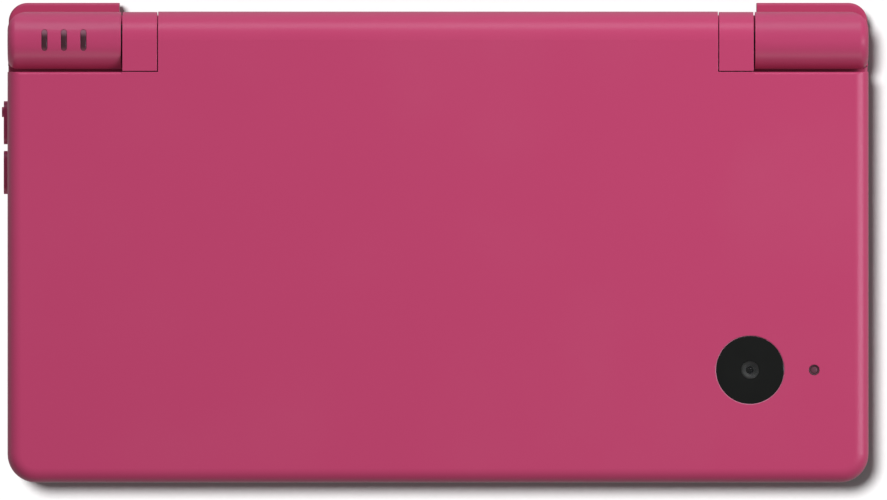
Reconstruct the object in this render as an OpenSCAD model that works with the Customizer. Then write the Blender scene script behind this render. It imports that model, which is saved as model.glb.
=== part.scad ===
// Clamshell handheld game console.
// A base with the controls and a touch screen, and a lid with a second screen, joined at the
// back by a barrel hinge. The outer barrels belong to the base, the middle one to the lid.
// X runs to the right, Y towards the hinge and Z up. The closed console stands on its feet at
// z = 0 and is centred on the origin in plan. All sizes are in millimetres.

/* [Body] */
// Width of the console
body_w = 137; // [135:0.5:145]
// Height of the closed console, standing on its feet
closed_h = 18.9; // [18.7:0.1:20.5]
// Thickness of the lid
lid_h = 6.9; // [6.7:0.1:7.5]
// Gap between the closed lid and the deck, filled by the bumpers
lid_gap = 1; // [0.9:0.1:1.3]
// Height that the feet stand out below the base
foot_h = 0.5; // [0.3:0.1:0.8]
// Thickness of the side walls
wall = 1.3; // [1.1:0.1:1.5]
// Thickness of the floor of the base
floor_t = 1.2; // [1.1:0.1:1.5]
// Thickness of the deck round the controls
deck_t = 1.3; // [1.1:0.1:1.5]
// Thickness of the top of the lid
lid_top_t = 1.3; // [1.1:0.1:1.5]
// Thickness of the inner face of the lid
lid_face_t = 1.4; // [1.2:0.1:1.6]
// Height of the lower case, up to the seam between the two base shells
lower_case_h = 5.7; // [5.3:0.1:6.5]
// Height of the rim that the inner frame shows round the lid
lid_rim_h = 1.8; // [1.6:0.1:2.4]
// Radius of the front corners, seen from above
corner_r = 4.5; // [4:0.5:6]
// Radius of the back corners, seen from above
rear_corner_r = 3; // [2.6:0.1:4]
// Rounding along the top edge of the lid
lid_edge_r = 2.2; // [1:0.05:2.5]
// Radius of the lid's back edge beside the outer barrels
lid_back_r = 0.45; // [0.3:0.05:0.6]
// Rounding along the bottom edge of the base
base_edge_r = 2; // [1:0.1:3]
// Small rounding where the lid and the deck face each other
inner_edge_r = 0.5; // [0.2:0.1:0.8]

/* [Hinge] */
// Diameter of the hinge barrels
barrel_d = 9.1; // [8.8:0.1:9.4]
// Length of each outer barrel
outer_barrel_l = 18.05; // [17:0.05:20]
// Length of each knuckle of the lid
knuckle_l = 5.5; // [5:0.1:6.5]
// Rounding at the outer end of the outer barrels
barrel_end_r = 1.5; // [0.5:0.1:2]
// Gap between an outer barrel and a knuckle
barrel_seam = 0.25; // [0.15:0.05:0.4]
// Gap round the middle barrel in the trough of the base
trough_gap = 0.4; // [0.3:0.05:0.6]
// Gap between the outer barrels and the back edge of the lid
notch_gap = 0.5; // [0.4:0.05:0.8]
// Diameter of the click unit in the right barrel
click_d = 6; // [5.6:0.1:6.2]
// Diameter of the click unit's shaft
click_shaft_d = 3; // [2.5:0.1:3.4]
// Outer diameter of the hollow pivot sleeve on the left
sleeve_d = 5.2; // [4.8:0.1:5.6]
// Inner diameter of the hollow pivot sleeve
sleeve_bore = 3.8; // [3.4:0.1:4]

/* [Screens] */
// Width of the picture on both screens
screen_w = 66; // [64:0.5:67]
// Depth of the picture on both screens
screen_d = 49.5; // [48:0.5:50]
// Gap between the stylus's tunnel and the lower screen module
screen_front_gap = 1.05; // [0.6:0.05:3]
// Gap between the lower screen module and the hinge's trough
screen_back_gap = 1.85; // [1.5:0.05:3]
// Distance of the upper picture's centre behind the middle of the lid
upper_screen_back = 1.05; // [0:0.05:1.5]
// Width of the screen module's own frame round the picture
module_rim = 2.4; // [2:0.1:2.6]
// Thickness of the lower screen module
lower_module_t = 2.1; // [1.9:0.05:2.1]
// Thickness of the upper screen module
upper_module_t = 2.6; // [2:0.1:2.7]
// Thickness of the touch panel
touch_t = 0.9; // [0.8:0.05:0.95]
// Thickness of the lip of the deck that hides the touch panel's edge
deck_lip_t = 0.9; // [0.8:0.1:1]
// Border of the clear window round the upper picture
window_border = 4; // [3.5:0.1:5]
// Thickness of the clear window over the upper screen
window_t = 0.75; // [0.6:0.05:0.8]

/* [Controls] */
// Distance of the cross pad's and the face buttons' centres from the sides
control_from_side = 15.4; // [15:0.1:17]
// Distance of their centres behind the middle of the console
control_y = 4; // [2:0.5:6]
// Overall size of the cross pad
pad_size = 20; // [18:0.1:20.5]
// Width of each arm of the cross pad
pad_arm_w = 6.9; // [6:0.1:7.5]
// Height of the cross pad above the deck
pad_proud = 0.35; // [0.2:0.05:0.4]
// Diameter of the face buttons
face_button_d = 7.6; // [7:0.1:8]
// Distance of each face button from the middle of their group
face_button_pitch = 6.5; // [6.2:0.1:6.8]
// Height of the face buttons above the deck
button_proud = 0.7; // [0.4:0.1:0.8]
// Travel of the face buttons, the menu buttons and the power button
button_travel = 0.5; // [0.4:0.05:0.5]
// Diameter of the two menu buttons and the power button
menu_button_d = 4.2; // [3.8:0.1:4.6]
// Distance of the menu and power buttons from the sides
menu_from_side = 22.3; // [21.5:0.1:24]
// Distance of the rear menu button's centre in front of the middle
menu_y = -15.5; // [-16.5:0.5:-14.5]
// Distance between the two menu buttons
menu_pitch = 8; // [7:0.5:9]

/* [Shoulder and side keys] */
// Distance that the shoulder buttons stand out behind the barrels
shoulder_proud = 1.5; // [1:0.1:2]
// Height of the shoulder buttons
shoulder_h = 6.6; // [6:0.1:6.8]
// Length of the shoulder buttons along the side of the console
shoulder_side_l = 7.7; // [7:0.1:8.2]
// Gap in front of the shoulder buttons that their travel needs
shoulder_gap = 1.05; // [1:0.05:1.3]
// Wall thickness of the shoulder buttons
shoulder_wall = 1.4; // [1.1:0.1:1.5]
// Diameter of the pins that the shoulder buttons turn on
shoulder_pin_d = 1.5; // [1.2:0.1:1.8]
// Length of each volume key
volume_key_l = 6.9; // [6:0.1:7.2]
// Height of the volume keys
volume_key_h = 3; // [2.6:0.1:3.2]
// Gap between the two volume keys
volume_key_gap = 1.05; // [0.9:0.05:1.5]
// Distance from the back of the barrels to the rear end of the upper volume key
volume_from_back = 14.15; // [12:0.05:16]
// Height that the volume keys stand out from the side
volume_proud = 0.8; // [0.4:0.05:1]
// Extra height of the raised nub on the upper volume key
volume_nub_h = 0.3; // [0.2:0.05:0.4]
// Travel of the volume keys
volume_travel = 0.3; // [0.2:0.05:0.3]

/* [Openings] */
// Width of the game card slot
card_slot_w = 33.8; // [33.4:0.1:34.4]
// Height of the game card slot
card_slot_h = 4.35; // [4.25:0.05:4.4]
// Depth that a game card goes in behind the back wall
card_depth = 33; // [31:0.5:34]
// Width of the memory card slot
memory_slot_w = 24.6; // [24.3:0.1:25]
// Height of the memory card slot
memory_slot_h = 2.7; // [2.5:0.1:2.8]
// Distance of the memory card slot's centre from the back of the barrels
memory_from_back = 26.5; // [25:0.1:28]
// Height of the memory card slot's centre above the floor of the base
memory_z = 3; // [2.8:0.1:3]
// How far the cover laps over each end of the memory card slot
cover_lap = 1.2; // [1:0.1:1.4]
// Height of the cover over the memory card slot
cover_h = 4.4; // [4:0.1:4.5]
// Thickness of the cover over the memory card slot
cover_t = 0.9; // [0.8:0.1:1]
// Diameter of the headphone socket's bore
jack_bore = 3.6; // [3.5:0.05:3.7]
// Distance of the headphone socket from the left side
jack_from_side = 8.1; // [8:0.1:8.5]
// Width of the charger socket's opening
charger_w = 7.4; // [6.5:0.1:8]
// Height of the charger socket's opening
charger_h = 3; // [2.6:0.1:3.2]
// Distance of the charger socket from the middle of the console
charger_x = -29; // [-32:0.5:-27]
// Diameter of the stylus
stylus_d = 4.6; // [4.2:0.1:4.7]
// Length of the stylus
stylus_l = 88; // [80:0.5:90]

/* [Camera and lights] */
// Diameter of the round window over the outer camera
camera_window_d = 10.9; // [10:0.1:12]
// Distance of the outer camera from the right side
camera_from_side = 18.9; // [18:0.1:20]
// Distance of the outer camera from the front edge
camera_from_front = 17.9; // [17:0.1:19]
// Diameter of the outer camera's lens
camera_lens_d = 2.9; // [2.5:0.1:3.4]
// Distance from the camera to the recording light
light_pitch = 10.2; // [9:0.1:10.5]
// Diameter of the recording light
light_d = 1.6; // [1.2:0.1:1.8]
// Length of each status light window on the left barrel
status_l = 3.4; // [2.8:0.1:3.6]
// Width of each status light window
status_w = 0.95; // [0.8:0.05:1.1]
// Distance between neighbouring status lights
status_pitch = 3.1; // [2.8:0.1:3.4]
// Distance of the middle status light from the left side
status_from_side = 9; // [8.6:0.1:9.4]

/* [Battery] */
// Width of the battery pack
battery_w = 46; // [40:0.5:50]
// Distance of the battery pack from the left side
battery_from_side = 12.5; // [12.4:0.1:14]
// Thickness of the battery cover
battery_cover_t = 0.9; // [0.8:0.05:0.95]

/* [Hidden] */
$fn = 96;

// A hair of room between pieces of one body that sit face to face
seat = 0.05;
// Radial room of a shaft that turns in its bore
running = 0.05;
// Room round a button in its hole
button_clear = 0.15;
// How far a cutter runs past the face that it opens
past = 1;
// Lip along the seams of the shells
lip_t = 0.55;
lip_h = 0.7;

// The screen module, and how deep the console has to be to hold it between the stylus and the hinge
module_w = screen_w + 2 * module_rim;
module_d = screen_d + 2 * module_rim;
stylus_wall = 0.6;
stylus_block_wall = 0.5;
barrel_r = barrel_d / 2;
barrel_wall = 1.2;
trough_r = barrel_r + trough_gap;
body_d = wall + stylus_wall + stylus_d + stylus_block_wall + screen_front_gap + module_d
    + screen_back_gap + trough_r + barrel_wall + barrel_r;
half_w = body_w / 2;
front_y = -(body_d + shoulder_proud) / 2;
back_y = front_y + body_d;
shoulder_y = back_y + shoulder_proud;

// Heights through the base
base_z = foot_h;
floor_z = base_z + floor_t;
base_split_z = base_z + lower_case_h;
lid_z = closed_h - lid_h;
deck_z = lid_z - lid_gap;
deck_under_z = deck_z - deck_t;
board_t = 0.8;
board_z = floor_z + card_slot_h + seat;
board_top_z = board_z + board_t;

// Heights through the lid
lid_face_z = lid_z + lid_face_t;
lid_split_z = lid_z + lid_rim_h;
lid_under_z = closed_h - lid_top_t;

// The hinge
barrel_drop = 0.05;
hinge_y = back_y - barrel_r;
hinge_z = closed_h - barrel_r - barrel_drop;
barrel_x = half_w - outer_barrel_l;
knuckle_x1 = barrel_x - barrel_seam;
knuckle_x0 = knuckle_x1 - knuckle_l;
sleeve_in = 4;
seam = 0.15;
centre_x = knuckle_x0 - seam;
lid_rear_y = hinge_y - barrel_r - notch_gap;
trough_z = hinge_z - trough_r;
rear_inset = 0.5;
rear_y = back_y - rear_inset;
rear_in_y = rear_y - wall;

// Case screws: where they stand, and the sizes of their bosses, holes and heads
screw_r = 0.85;
screw_clear = 0.15;
screw_head_r = 1.9;
screw_head_t = 1.1;
screw_sink = 0.4;
boss_r = 3.1;
upper_boss_r = 2;

// Feet
foot_r = 2.6;
foot_sink = 0.3;
foot_x = half_w - 8.5;
foot_at = [[-foot_x, front_y + 4.6], [foot_x, front_y + 4.6], [-foot_x, rear_y - 5.6],
    [foot_x, rear_y - 5.6]];

// Quarter section of a slab's edge: r wide and h high, rounded at its outer bottom and top
module edge_profile(r, h, bottom, top) {
    difference() {
        square([r, h]);
        if (bottom > 0) difference() {
            translate([r - bottom, -past]) square([bottom + past, bottom + past]);
            translate([r - bottom, bottom]) circle(bottom);
        }
        if (top > 0) difference() {
            translate([r - top, h - top]) square([top + past, top + past]);
            translate([r - top, h - top]) circle(top);
        }
    }
}

// Front half of a slab: from y = -d to 0, with two rounded corners and rounded long edges
module half_slab(w, d, h, r, bottom = 0, top = 0) {
    both_sides() translate([w / 2 - r, 0, 0]) {
        translate([0, r - d, 0]) rotate([0, 0, 270])
            rotate_extrude(angle = 90) edge_profile(r, h, bottom, top);
        rotate([90, 0, 0]) linear_extrude(d - r) edge_profile(r, h, bottom, top);
    }
    translate([w / 2 - r, r - d, 0]) rotate([90, 0, -90])
        linear_extrude(w - 2 * r) edge_profile(r, h, bottom, top);
    translate([r - w / 2, r - d, 0]) cube([w - 2 * r, d - r, h]);
}

// The base's outline between two heights, drawn in from it by inset
module base_block(z0, z1, inset = 0, bottom = 0, top = 0) {
    translate([0, 0, z0]) {
        half_slab(body_w - 2 * inset, -front_y - inset, z1 - z0, corner_r - inset, bottom, top);
        mirror([0, 1, 0])
            half_slab(body_w - 2 * inset, rear_y - inset, z1 - z0, rear_corner_r - inset,
                bottom, top);
    }
}

// The lid's outline between two heights, up to its straight back edge
module lid_block(z0, z1, inset = 0, bottom = 0, top = 0) {
    translate([0, lid_rear_y - inset, z0])
        half_slab(body_w - 2 * inset, lid_rear_y - front_y - 2 * inset, z1 - z0,
            corner_r - inset, bottom, top);
}

module box(x0, x1, y0, y1, z0, z1) {
    translate([x0, y0, z0]) cube([x1 - x0, y1 - y0, z1 - z0]);
}

// A flat rectangle with round corners, centred
module round_rect(w, d, r) {
    square([w - 2 * r, d], center = true);
    square([w, d - 2 * r], center = true);
    for (x = [-1, 1], y = [-1, 1]) translate([x * (w / 2 - r), y * (d / 2 - r)]) circle(r);
}

// A flat slot with round ends, l long along y and w wide
module slot(l, w) {
    square([w, l - w], center = true);
    for (y = [-1, 1]) translate([0, y * (l - w) / 2]) circle(w / 2);
}

// A cylinder along X on the hinge axis
module on_hinge(r, x0, x1) {
    translate([x0, hinge_y, hinge_z]) rotate([0, 90, 0]) cylinder(r = r, h = x1 - x0);
}

module upright(r, x, y, z0, z1) {
    translate([x, y, z0]) cylinder(r = r, h = z1 - z0);
}

module both_sides() {
    children();
    mirror([1, 0, 0]) children();
}

// Shared places and cutters of the base

control_x = half_w - control_from_side;
menu_x = half_w - menu_from_side;
switch_half = 2;
lower_screen_y = front_y + wall + stylus_wall + stylus_d + stylus_block_wall + screen_front_gap
    + module_d / 2;
upper_screen_y = (front_y + lid_rear_y) / 2 + upper_screen_back;
stylus_y = front_y + wall + stylus_wall + stylus_d / 2;
stylus_z = base_split_z;
stylus_clear = 0.1;
stylus_block_x = half_w - stylus_l - 5;
stylus_block_y = stylus_y + stylus_d / 2 + stylus_block_wall;

module stylus_bore() {
    translate([half_w - stylus_l - 0.5, stylus_y, stylus_z]) rotate([0, 90, 0])
        cylinder(d = stylus_d + 2 * stylus_clear, h = stylus_l + 0.5 + past);
}

module stylus_block(z0, z1) {
    intersection() {
        base_block(z0, z1, wall / 2);
        box(stylus_block_x, half_w, front_y, stylus_block_y, z0, z1);
    }
}

// Shoulder buttons: the right one, from which the left one is mirrored
shoulder_z0 = floor_z + 1.1;
shoulder_z1 = shoulder_z0 + shoulder_h;
shoulder_x = barrel_x + 0.4;
shoulder_front_y = shoulder_y - shoulder_side_l;
bay_wall_t = 1.2;
bay_front_y = shoulder_front_y - shoulder_gap - bay_wall_t;
shoulder_open_x = barrel_x + 0.15;
shoulder_floor_z = shoulder_z0 - 0.2;
shoulder_pin_x = shoulder_x + 1.6;
shoulder_pin_y = shoulder_front_y + 1.9;
shoulder_eye_r = shoulder_pin_d / 2 + 0.85;
shoulder_rib_x = shoulder_pin_x + 7.5;
shoulder_rib_w = 2;
shoulder_switch_gap = 0.5;
shoulder_wire_r = 0.22;
shoulder_coil_r = shoulder_pin_d / 2 + 0.1 + shoulder_wire_r;
shoulder_coil_h = 1.5;

module shoulder_opening() {
    both_sides()
        box(shoulder_open_x, half_w + past, shoulder_front_y - shoulder_gap, rear_y + past,
            shoulder_floor_z, deck_under_z);
}

// Volume keys in the left side
volume_y1 = back_y - volume_from_back - volume_key_l;
volume_y0 = volume_y1 - volume_key_gap - volume_key_l;
volume_z = base_z + 6.5;
volume_clear = 0.12;
volume_flange = 0.4;
volume_flange_t = 0.5;
volume_flange_x = -half_w + wall + seat;
volume_switch_x = volume_flange_x + volume_flange_t + volume_travel + seat;
volume_dome_h = 0.6;
volume_board_t = 0.6;
volume_board_x1 = volume_switch_x + volume_dome_h + volume_board_t;

// A flat-sided bar with round ends that lies along the side wall, grown by g all round
module volume_bar(y, x0, x1, g) {
    translate([x0, y + volume_key_l / 2, volume_z]) rotate([0, 90, 0]) linear_extrude(x1 - x0)
        slot(volume_key_l + 2 * g, volume_key_h + 2 * g);
}

module volume_openings() {
    for (y = [volume_y0, volume_y1])
        volume_bar(y, -half_w - past, -half_w + wall + past, volume_clear);
}

// Memory card slot and its cover
memory_y = back_y - memory_from_back;
memory_zc = floor_z + memory_z;
cover_l = memory_slot_w + 2 * cover_lap;
cover_clear = 0.15;
cover_y0 = memory_y - cover_l / 2;
cover_pin_r = 0.5;
cover_eye_r = 0.9;
cover_pin_x = half_w - cover_eye_r - seat;
cover_pin_y = cover_y0 + cover_eye_r;
cover_swing = 0.6;
memory_pad_t = 1.1;

module memory_opening() {
    box(half_w - wall - memory_pad_t - past, half_w + past, memory_y - memory_slot_w / 2,
        memory_y + memory_slot_w / 2, memory_zc - memory_slot_h / 2, memory_zc + memory_slot_h / 2);
    box(half_w - cover_t - cover_clear, half_w + past, cover_y0 - cover_swing,
        cover_y0 + cover_l + cover_clear, memory_zc - cover_h / 2 - cover_clear,
        memory_zc + cover_h / 2 + cover_clear);
    upright(cover_eye_r + cover_clear, cover_pin_x, cover_pin_y,
        memory_zc - cover_h / 2 - cover_clear, memory_zc + cover_h / 2 + cover_clear);
    upright(cover_pin_r + running, cover_pin_x, cover_pin_y,
        memory_zc - cover_h / 2 - 0.9, memory_zc + cover_h / 2 + 0.9);
}

// The thicker wall that carries the memory card cover
module memory_pad(z0, z1) {
    box(half_w - wall - memory_pad_t, half_w - wall + seat, cover_y0 - 1.4, cover_y0 + cover_l + 1,
        z0, z1);
}

card_z1 = floor_z + card_slot_h;

module card_opening() {
    box(-card_slot_w / 2, card_slot_w / 2, rear_in_y - past, rear_y + past, floor_z, card_z1);
}

charger_z = floor_z + 2.2;
charger_shell = 0.6;

module charger_opening() {
    translate([charger_x, rear_in_y - past, charger_z]) rotate([-90, 0, 0])
        linear_extrude(wall + 2 * past)
        round_rect(charger_w + 2 * charger_shell + 0.2, charger_h + 2 * charger_shell + 0.2, 0.8);
}

jack_x = jack_from_side - half_w;
jack_z = floor_z + 3.5;
jack_hole_r = 2.6;
jack_l = 12;
jack_end = 1.3;
jack_half = 2.75;

module jack_opening() {
    translate([jack_x, front_y - past, jack_z]) rotate([-90, 0, 0])
        cylinder(r = jack_hole_r, h = wall + 2 * past);
}

module side_openings() {
    shoulder_opening();
    volume_openings();
    memory_opening();
    card_opening();
    charger_opening();
    jack_opening();
    stylus_bore();
}

// Battery bay: it fills the floor between the stylus and the game card socket
socket_rail = 1.5;
socket_end = 2.2;
socket_y0 = rear_y - card_depth - socket_end;
battery_clear = 0.3;
bay_wall = 1;
bay_y0 = stylus_block_y - 0.1;
bay_y1 = socket_y0 - 0.7;
battery_d = bay_y1 - bay_y0 - 2 * bay_wall - 2 * battery_clear;
battery_y = (bay_y0 + bay_y1) / 2;
battery_x = battery_from_side - half_w + battery_w / 2;
bay_w = battery_w + 2 * battery_clear;
bay_d = battery_d + 2 * battery_clear;
bay_rim = 1.2;
bay_cover_w = bay_w + 2 * (bay_wall + bay_rim);
bay_cover_d = bay_d + 2 * bay_rim;
tab_w = 30;
tab_d = 4.6;
tab_x = -card_slot_w / 2 - socket_rail - 18.6;
tab_y = battery_y + bay_cover_d / 2;
bay_cover_z = base_z + battery_cover_t;
battery_cover_clear = 0.1;
bay_ceiling = 0.5;
bay_top_z = board_z - seat - bay_ceiling;
contact_w = 0.4;
contact_l = 4;
contact_pitch = 3;
contact_x = battery_x + battery_w / 2 - 8;
contact_y = battery_y + battery_d / 2 - 4;
battery_screw_at = [[tab_x - 11, tab_y + 2.3], [tab_x + 11, tab_y + 2.3]];
battery_screw_head_r = 1.5;
battery_boss_r = 2.1;

module battery_cover_shape(grow) {
    translate([battery_x, battery_y]) round_rect(bay_cover_w + 2 * grow, bay_cover_d + 2 * grow, 2);
    translate([tab_x, tab_y + tab_d / 2 - 1])
        round_rect(tab_w + 2 * grow, tab_d + 2 + 2 * grow, 1.5);
}

// Case screws, front to back
case_screw_at = [[-half_w + 14.5, front_y + 4], [half_w - 6.5, front_y + 10.8],
    [-half_w + 5.2, volume_y0 - 19.7], [half_w - 5.2, cover_y0 - 6.1],
    [-barrel_x + 8.45, lid_rear_y - 0.6], [barrel_x - 8.45, lid_rear_y - 0.6]];

module base_lower_case() {
    color("#b53e68")
    difference() {
        union() {
            difference() {
                base_block(base_z, base_split_z, 0, base_edge_r, 0);
                base_block(floor_z, base_split_z + past, wall);
            }
            // Lip that locates the upper case
            difference() {
                base_block(base_split_z - lip_h, base_split_z + lip_h, wall - lip_t);
                base_block(base_split_z - lip_h - past, base_split_z + lip_h + past, wall);
            }
            intersection() {
                base_block(base_z + seat, base_split_z, wall / 2);
                union() {
                    // Bosses of the case screws
                    for (p = case_screw_at) upright(boss_r, p[0], p[1], base_z + seat, board_z - seat);
                    // Thick floor under the shoulder buttons
                    both_sides()
                        box(barrel_x - bay_wall_t, half_w, bay_front_y, rear_y,
                            base_z + seat, shoulder_floor_z);
                    // Walls that close off the shoulder buttons' bays
                    both_sides() {
                        box(barrel_x - bay_wall_t, shoulder_open_x, bay_front_y,
                            rear_y, base_z + seat, base_split_z);
                        box(half_w - wall - 3, half_w, bay_front_y,
                            shoulder_front_y - shoulder_gap, base_z + seat, base_split_z);
                    }
                }
            }
            stylus_block(base_z + floor_t / 2, base_split_z);
            memory_pad(base_z + floor_t / 2, base_split_z);
            // Wall round the battery bay
            translate([battery_x, battery_y, base_z + floor_t / 2])
                linear_extrude(board_z - seat - base_z - floor_t / 2)
                round_rect(bay_w + 2 * bay_wall, bay_d + 2 * bay_wall, 1.6);
            for (p = battery_screw_at)
                upright(battery_boss_r, p[0], p[1], base_z + floor_t / 2, board_z - 1);
        }
        side_openings();
        // Battery bay, its cover's recess and the holes of the cover's screws
        translate([battery_x, battery_y, base_z - past]) linear_extrude(bay_top_z - base_z + past)
            round_rect(bay_w, bay_d, 0.8);
        // Slots that the battery's contacts reach through
        for (i = [-1, 0, 1])
            translate([contact_x + i * contact_pitch, contact_y, bay_top_z - past])
                linear_extrude(past + bay_ceiling + seat)
                square([contact_w + 2 * contact_w, contact_l + contact_w], center = true);
        translate([0, 0, base_z - past]) linear_extrude(battery_cover_t + past)
            battery_cover_shape(battery_cover_clear);
        for (p = battery_screw_at) upright(screw_r + screw_clear, p[0], p[1], base_z, board_z - 1.8);
        // Case screws
        for (p = case_screw_at) {
            upright(screw_r + screw_clear, p[0], p[1], base_z, board_z);
            upright(screw_head_r + screw_clear, p[0], p[1], base_z - past,
                base_z + screw_sink + screw_head_t + seat);
        }
        for (p = foot_at) upright(foot_r + seat, p[0], p[1], base_z - past, base_z + foot_sink);
        for (side = [-1, 1])
            upright(shoulder_pin_d / 2 + seat, side * shoulder_pin_x, shoulder_pin_y,
                floor_z - 0.3, shoulder_floor_z + past);
    }
}

// Deck openings
pad_clear = 0.4;
pad_flange_r = pad_size / 2 + 0.6;
face_at = [[0, 1], [1, 0], [0, -1], [-1, 0]];

module face_place(i) {
    translate([control_x + face_at[i][0] * face_button_pitch,
        control_y + face_at[i][1] * face_button_pitch, 0]) children();
}

module cross(size, arm) {
    square([size, arm], center = true);
    square([arm, size], center = true);
}

touch_z1 = deck_z - deck_lip_t - seat;
deck_window_rim = 0.7;
status_x = status_from_side - half_w;
status_y = hinge_y;
barrel_bore_r = click_d / 2 + seat;
barrel_bore_end = 1.9;
lens_sink = 0.35;
lens_plate_z = hinge_z + 1.1;

module outer_barrel() {
    intersection() {
        translate([barrel_x, hinge_y, hinge_z]) rotate([0, 90, 0])
            rotate_extrude() edge_profile(barrel_r, outer_barrel_l, 0, barrel_end_r);
        translate([0, 0, deck_under_z - past]) mirror([0, 1, 0])
            half_slab(body_w, back_y, closed_h, rear_corner_r);
    }
}

module base_upper_case() {
    color("#b53e68")
    difference() {
        union() {
            difference() {
                base_block(base_split_z, deck_z, 0, 0, inner_edge_r);
                base_block(base_split_z - past, deck_under_z, wall);
            }
            stylus_block(base_split_z, deck_z - deck_t / 2);
            memory_pad(base_split_z, deck_z - deck_t / 2);
            // Trough that the middle barrel turns in
            intersection() {
                union() {
                    on_hinge(trough_r + barrel_wall, -barrel_x - 1, barrel_x + 1);
                    box(-barrel_x - 1, barrel_x + 1, hinge_y, rear_y - wall / 2,
                        trough_z - barrel_wall, trough_z + seat);
                }
                box(-half_w, half_w, hinge_y - 2 * barrel_r, rear_y - wall / 2, base_split_z,
                    deck_z - deck_t / 2);
            }
            // Feet of the outer barrels
            intersection() {
                base_block(deck_under_z, hinge_z - 2, 0, 0, 0);
                both_sides()
                    box(barrel_x, half_w, hinge_y - barrel_r + rear_inset, rear_y, deck_under_z,
                        hinge_z - 2);
            }
            both_sides() outer_barrel();
            // Walls that close off the shoulder buttons' bays
            both_sides() {
                box(barrel_x - bay_wall_t, shoulder_open_x, bay_front_y,
                    rear_y - wall / 2, base_split_z, deck_z - deck_t / 2);
                box(half_w - wall - 3, half_w - wall / 2, bay_front_y,
                    shoulder_front_y - shoulder_gap, base_split_z, deck_z - deck_t / 2);
            }
            for (p = case_screw_at) upright(upper_boss_r, p[0], p[1], board_z, deck_z - deck_t / 2);
        }
        side_openings();
        // Groove for the lower case's lip
        difference() {
            base_block(base_split_z - past, base_split_z + lip_h + seat, wall - lip_t - seat);
            base_block(base_split_z - 2 * past, base_split_z + lip_h + past, wall);
        }
        // Trough, open towards the back
        on_hinge(trough_r, -barrel_x, barrel_x);
        box(-barrel_x, barrel_x, hinge_y, rear_y + past, trough_z, closed_h);
        // Bores of the two outer barrels
        on_hinge(barrel_bore_r, barrel_x - past, half_w - barrel_bore_end);
        on_hinge(sleeve_d / 2 + running, -barrel_x - sleeve_in - seat, -barrel_x + past);
        on_hinge(barrel_bore_r, barrel_bore_end - half_w, -barrel_x - sleeve_in);
        for (i = [-1, 0, 1])
            translate([status_x + i * status_pitch, status_y, hinge_z])
                linear_extrude(barrel_r + past) slot(status_l, status_w);
        // Window over the touch screen, and the pocket for the touch panel
        translate([0, lower_screen_y, deck_under_z - past]) linear_extrude(deck_t + 2 * past)
            round_rect(screen_w + 2 * deck_window_rim, screen_d + 2 * deck_window_rim, 0.8);
        translate([0, lower_screen_y, deck_under_z - past])
            linear_extrude(past + deck_t - deck_lip_t)
            square([module_w + 0.4, module_d + 0.4], center = true);
        // Cross pad and buttons
        translate([-control_x, control_y, deck_under_z - past]) linear_extrude(deck_t + 2 * past)
            cross(pad_size + 2 * pad_clear, pad_arm_w + 2 * pad_clear);
        for (i = [0 : 3])
            face_place(i) translate([0, 0, deck_under_z - past])
                cylinder(r = face_button_d / 2 + button_clear, h = deck_t + 2 * past);
        for (p = [[menu_x, menu_y], [menu_x, menu_y - menu_pitch], [-menu_x, menu_y - menu_pitch]])
            upright(menu_button_d / 2 + button_clear, p[0], p[1], deck_under_z - past,
                deck_z + past);
        for (p = case_screw_at)
            upright(screw_r + seat, p[0], p[1], board_z - past, deck_under_z - 0.4);
    }
}

module battery_cover() {
    color("#a8385f")
    difference() {
        translate([0, 0, base_z]) linear_extrude(battery_cover_t - seat) battery_cover_shape(0);
        for (p = battery_screw_at) {
            upright(screw_r + screw_clear, p[0], p[1], base_z - past, base_z + 2);
            upright(battery_screw_head_r + screw_clear, p[0], p[1], base_z - past, base_z + 0.5);
        }
    }
}

module battery_pack() {
    color("#d8d4c8")
    translate([battery_x, battery_y, bay_cover_z])
        linear_extrude(bay_top_z - 2 * seat - bay_cover_z) round_rect(battery_w, battery_d, 1.5);
}

// A countersunk-flat screw with its head down and a cross recess
module screw(head_r, head_t, shank_l) {
    difference() {
        union() {
            cylinder(r = head_r, h = head_t);
            cylinder(r = screw_r, h = head_t + shank_l);
        }
        translate([0, 0, -past]) linear_extrude(past + head_t * 0.6) cross(head_r * 1.2, 0.45);
    }
}

module battery_cover_screws() {
    color("#b8bcc2")
    for (p = battery_screw_at)
        translate([p[0], p[1], base_z + 0.1]) screw(battery_screw_head_r, 0.35, 3.2);
}

module case_screws() {
    color("#b8bcc2")
    for (p = case_screw_at)
        translate([p[0], p[1], base_z + screw_sink])
            screw(screw_head_r, screw_head_t, deck_under_z - base_z - screw_sink - 2.2);
}

module foot_pads() {
    color("#3a3a3c")
    for (p = foot_at)
        translate([p[0], p[1], 0]) mirror([0, 0, 1]) translate([0, 0, -foot_h - foot_sink + seat])
            rotate_extrude() edge_profile(foot_r, foot_h + foot_sink - seat, 0, foot_h / 2);
}

board_x0 = volume_board_x1 + seat;
board_x1 = half_w - wall - memory_pad_t - seat;
board_y0 = stylus_block_y + seat;
board_y1 = lid_rear_y - 0.6;
board_rear_w = 2 * barrel_x - 6;

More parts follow.
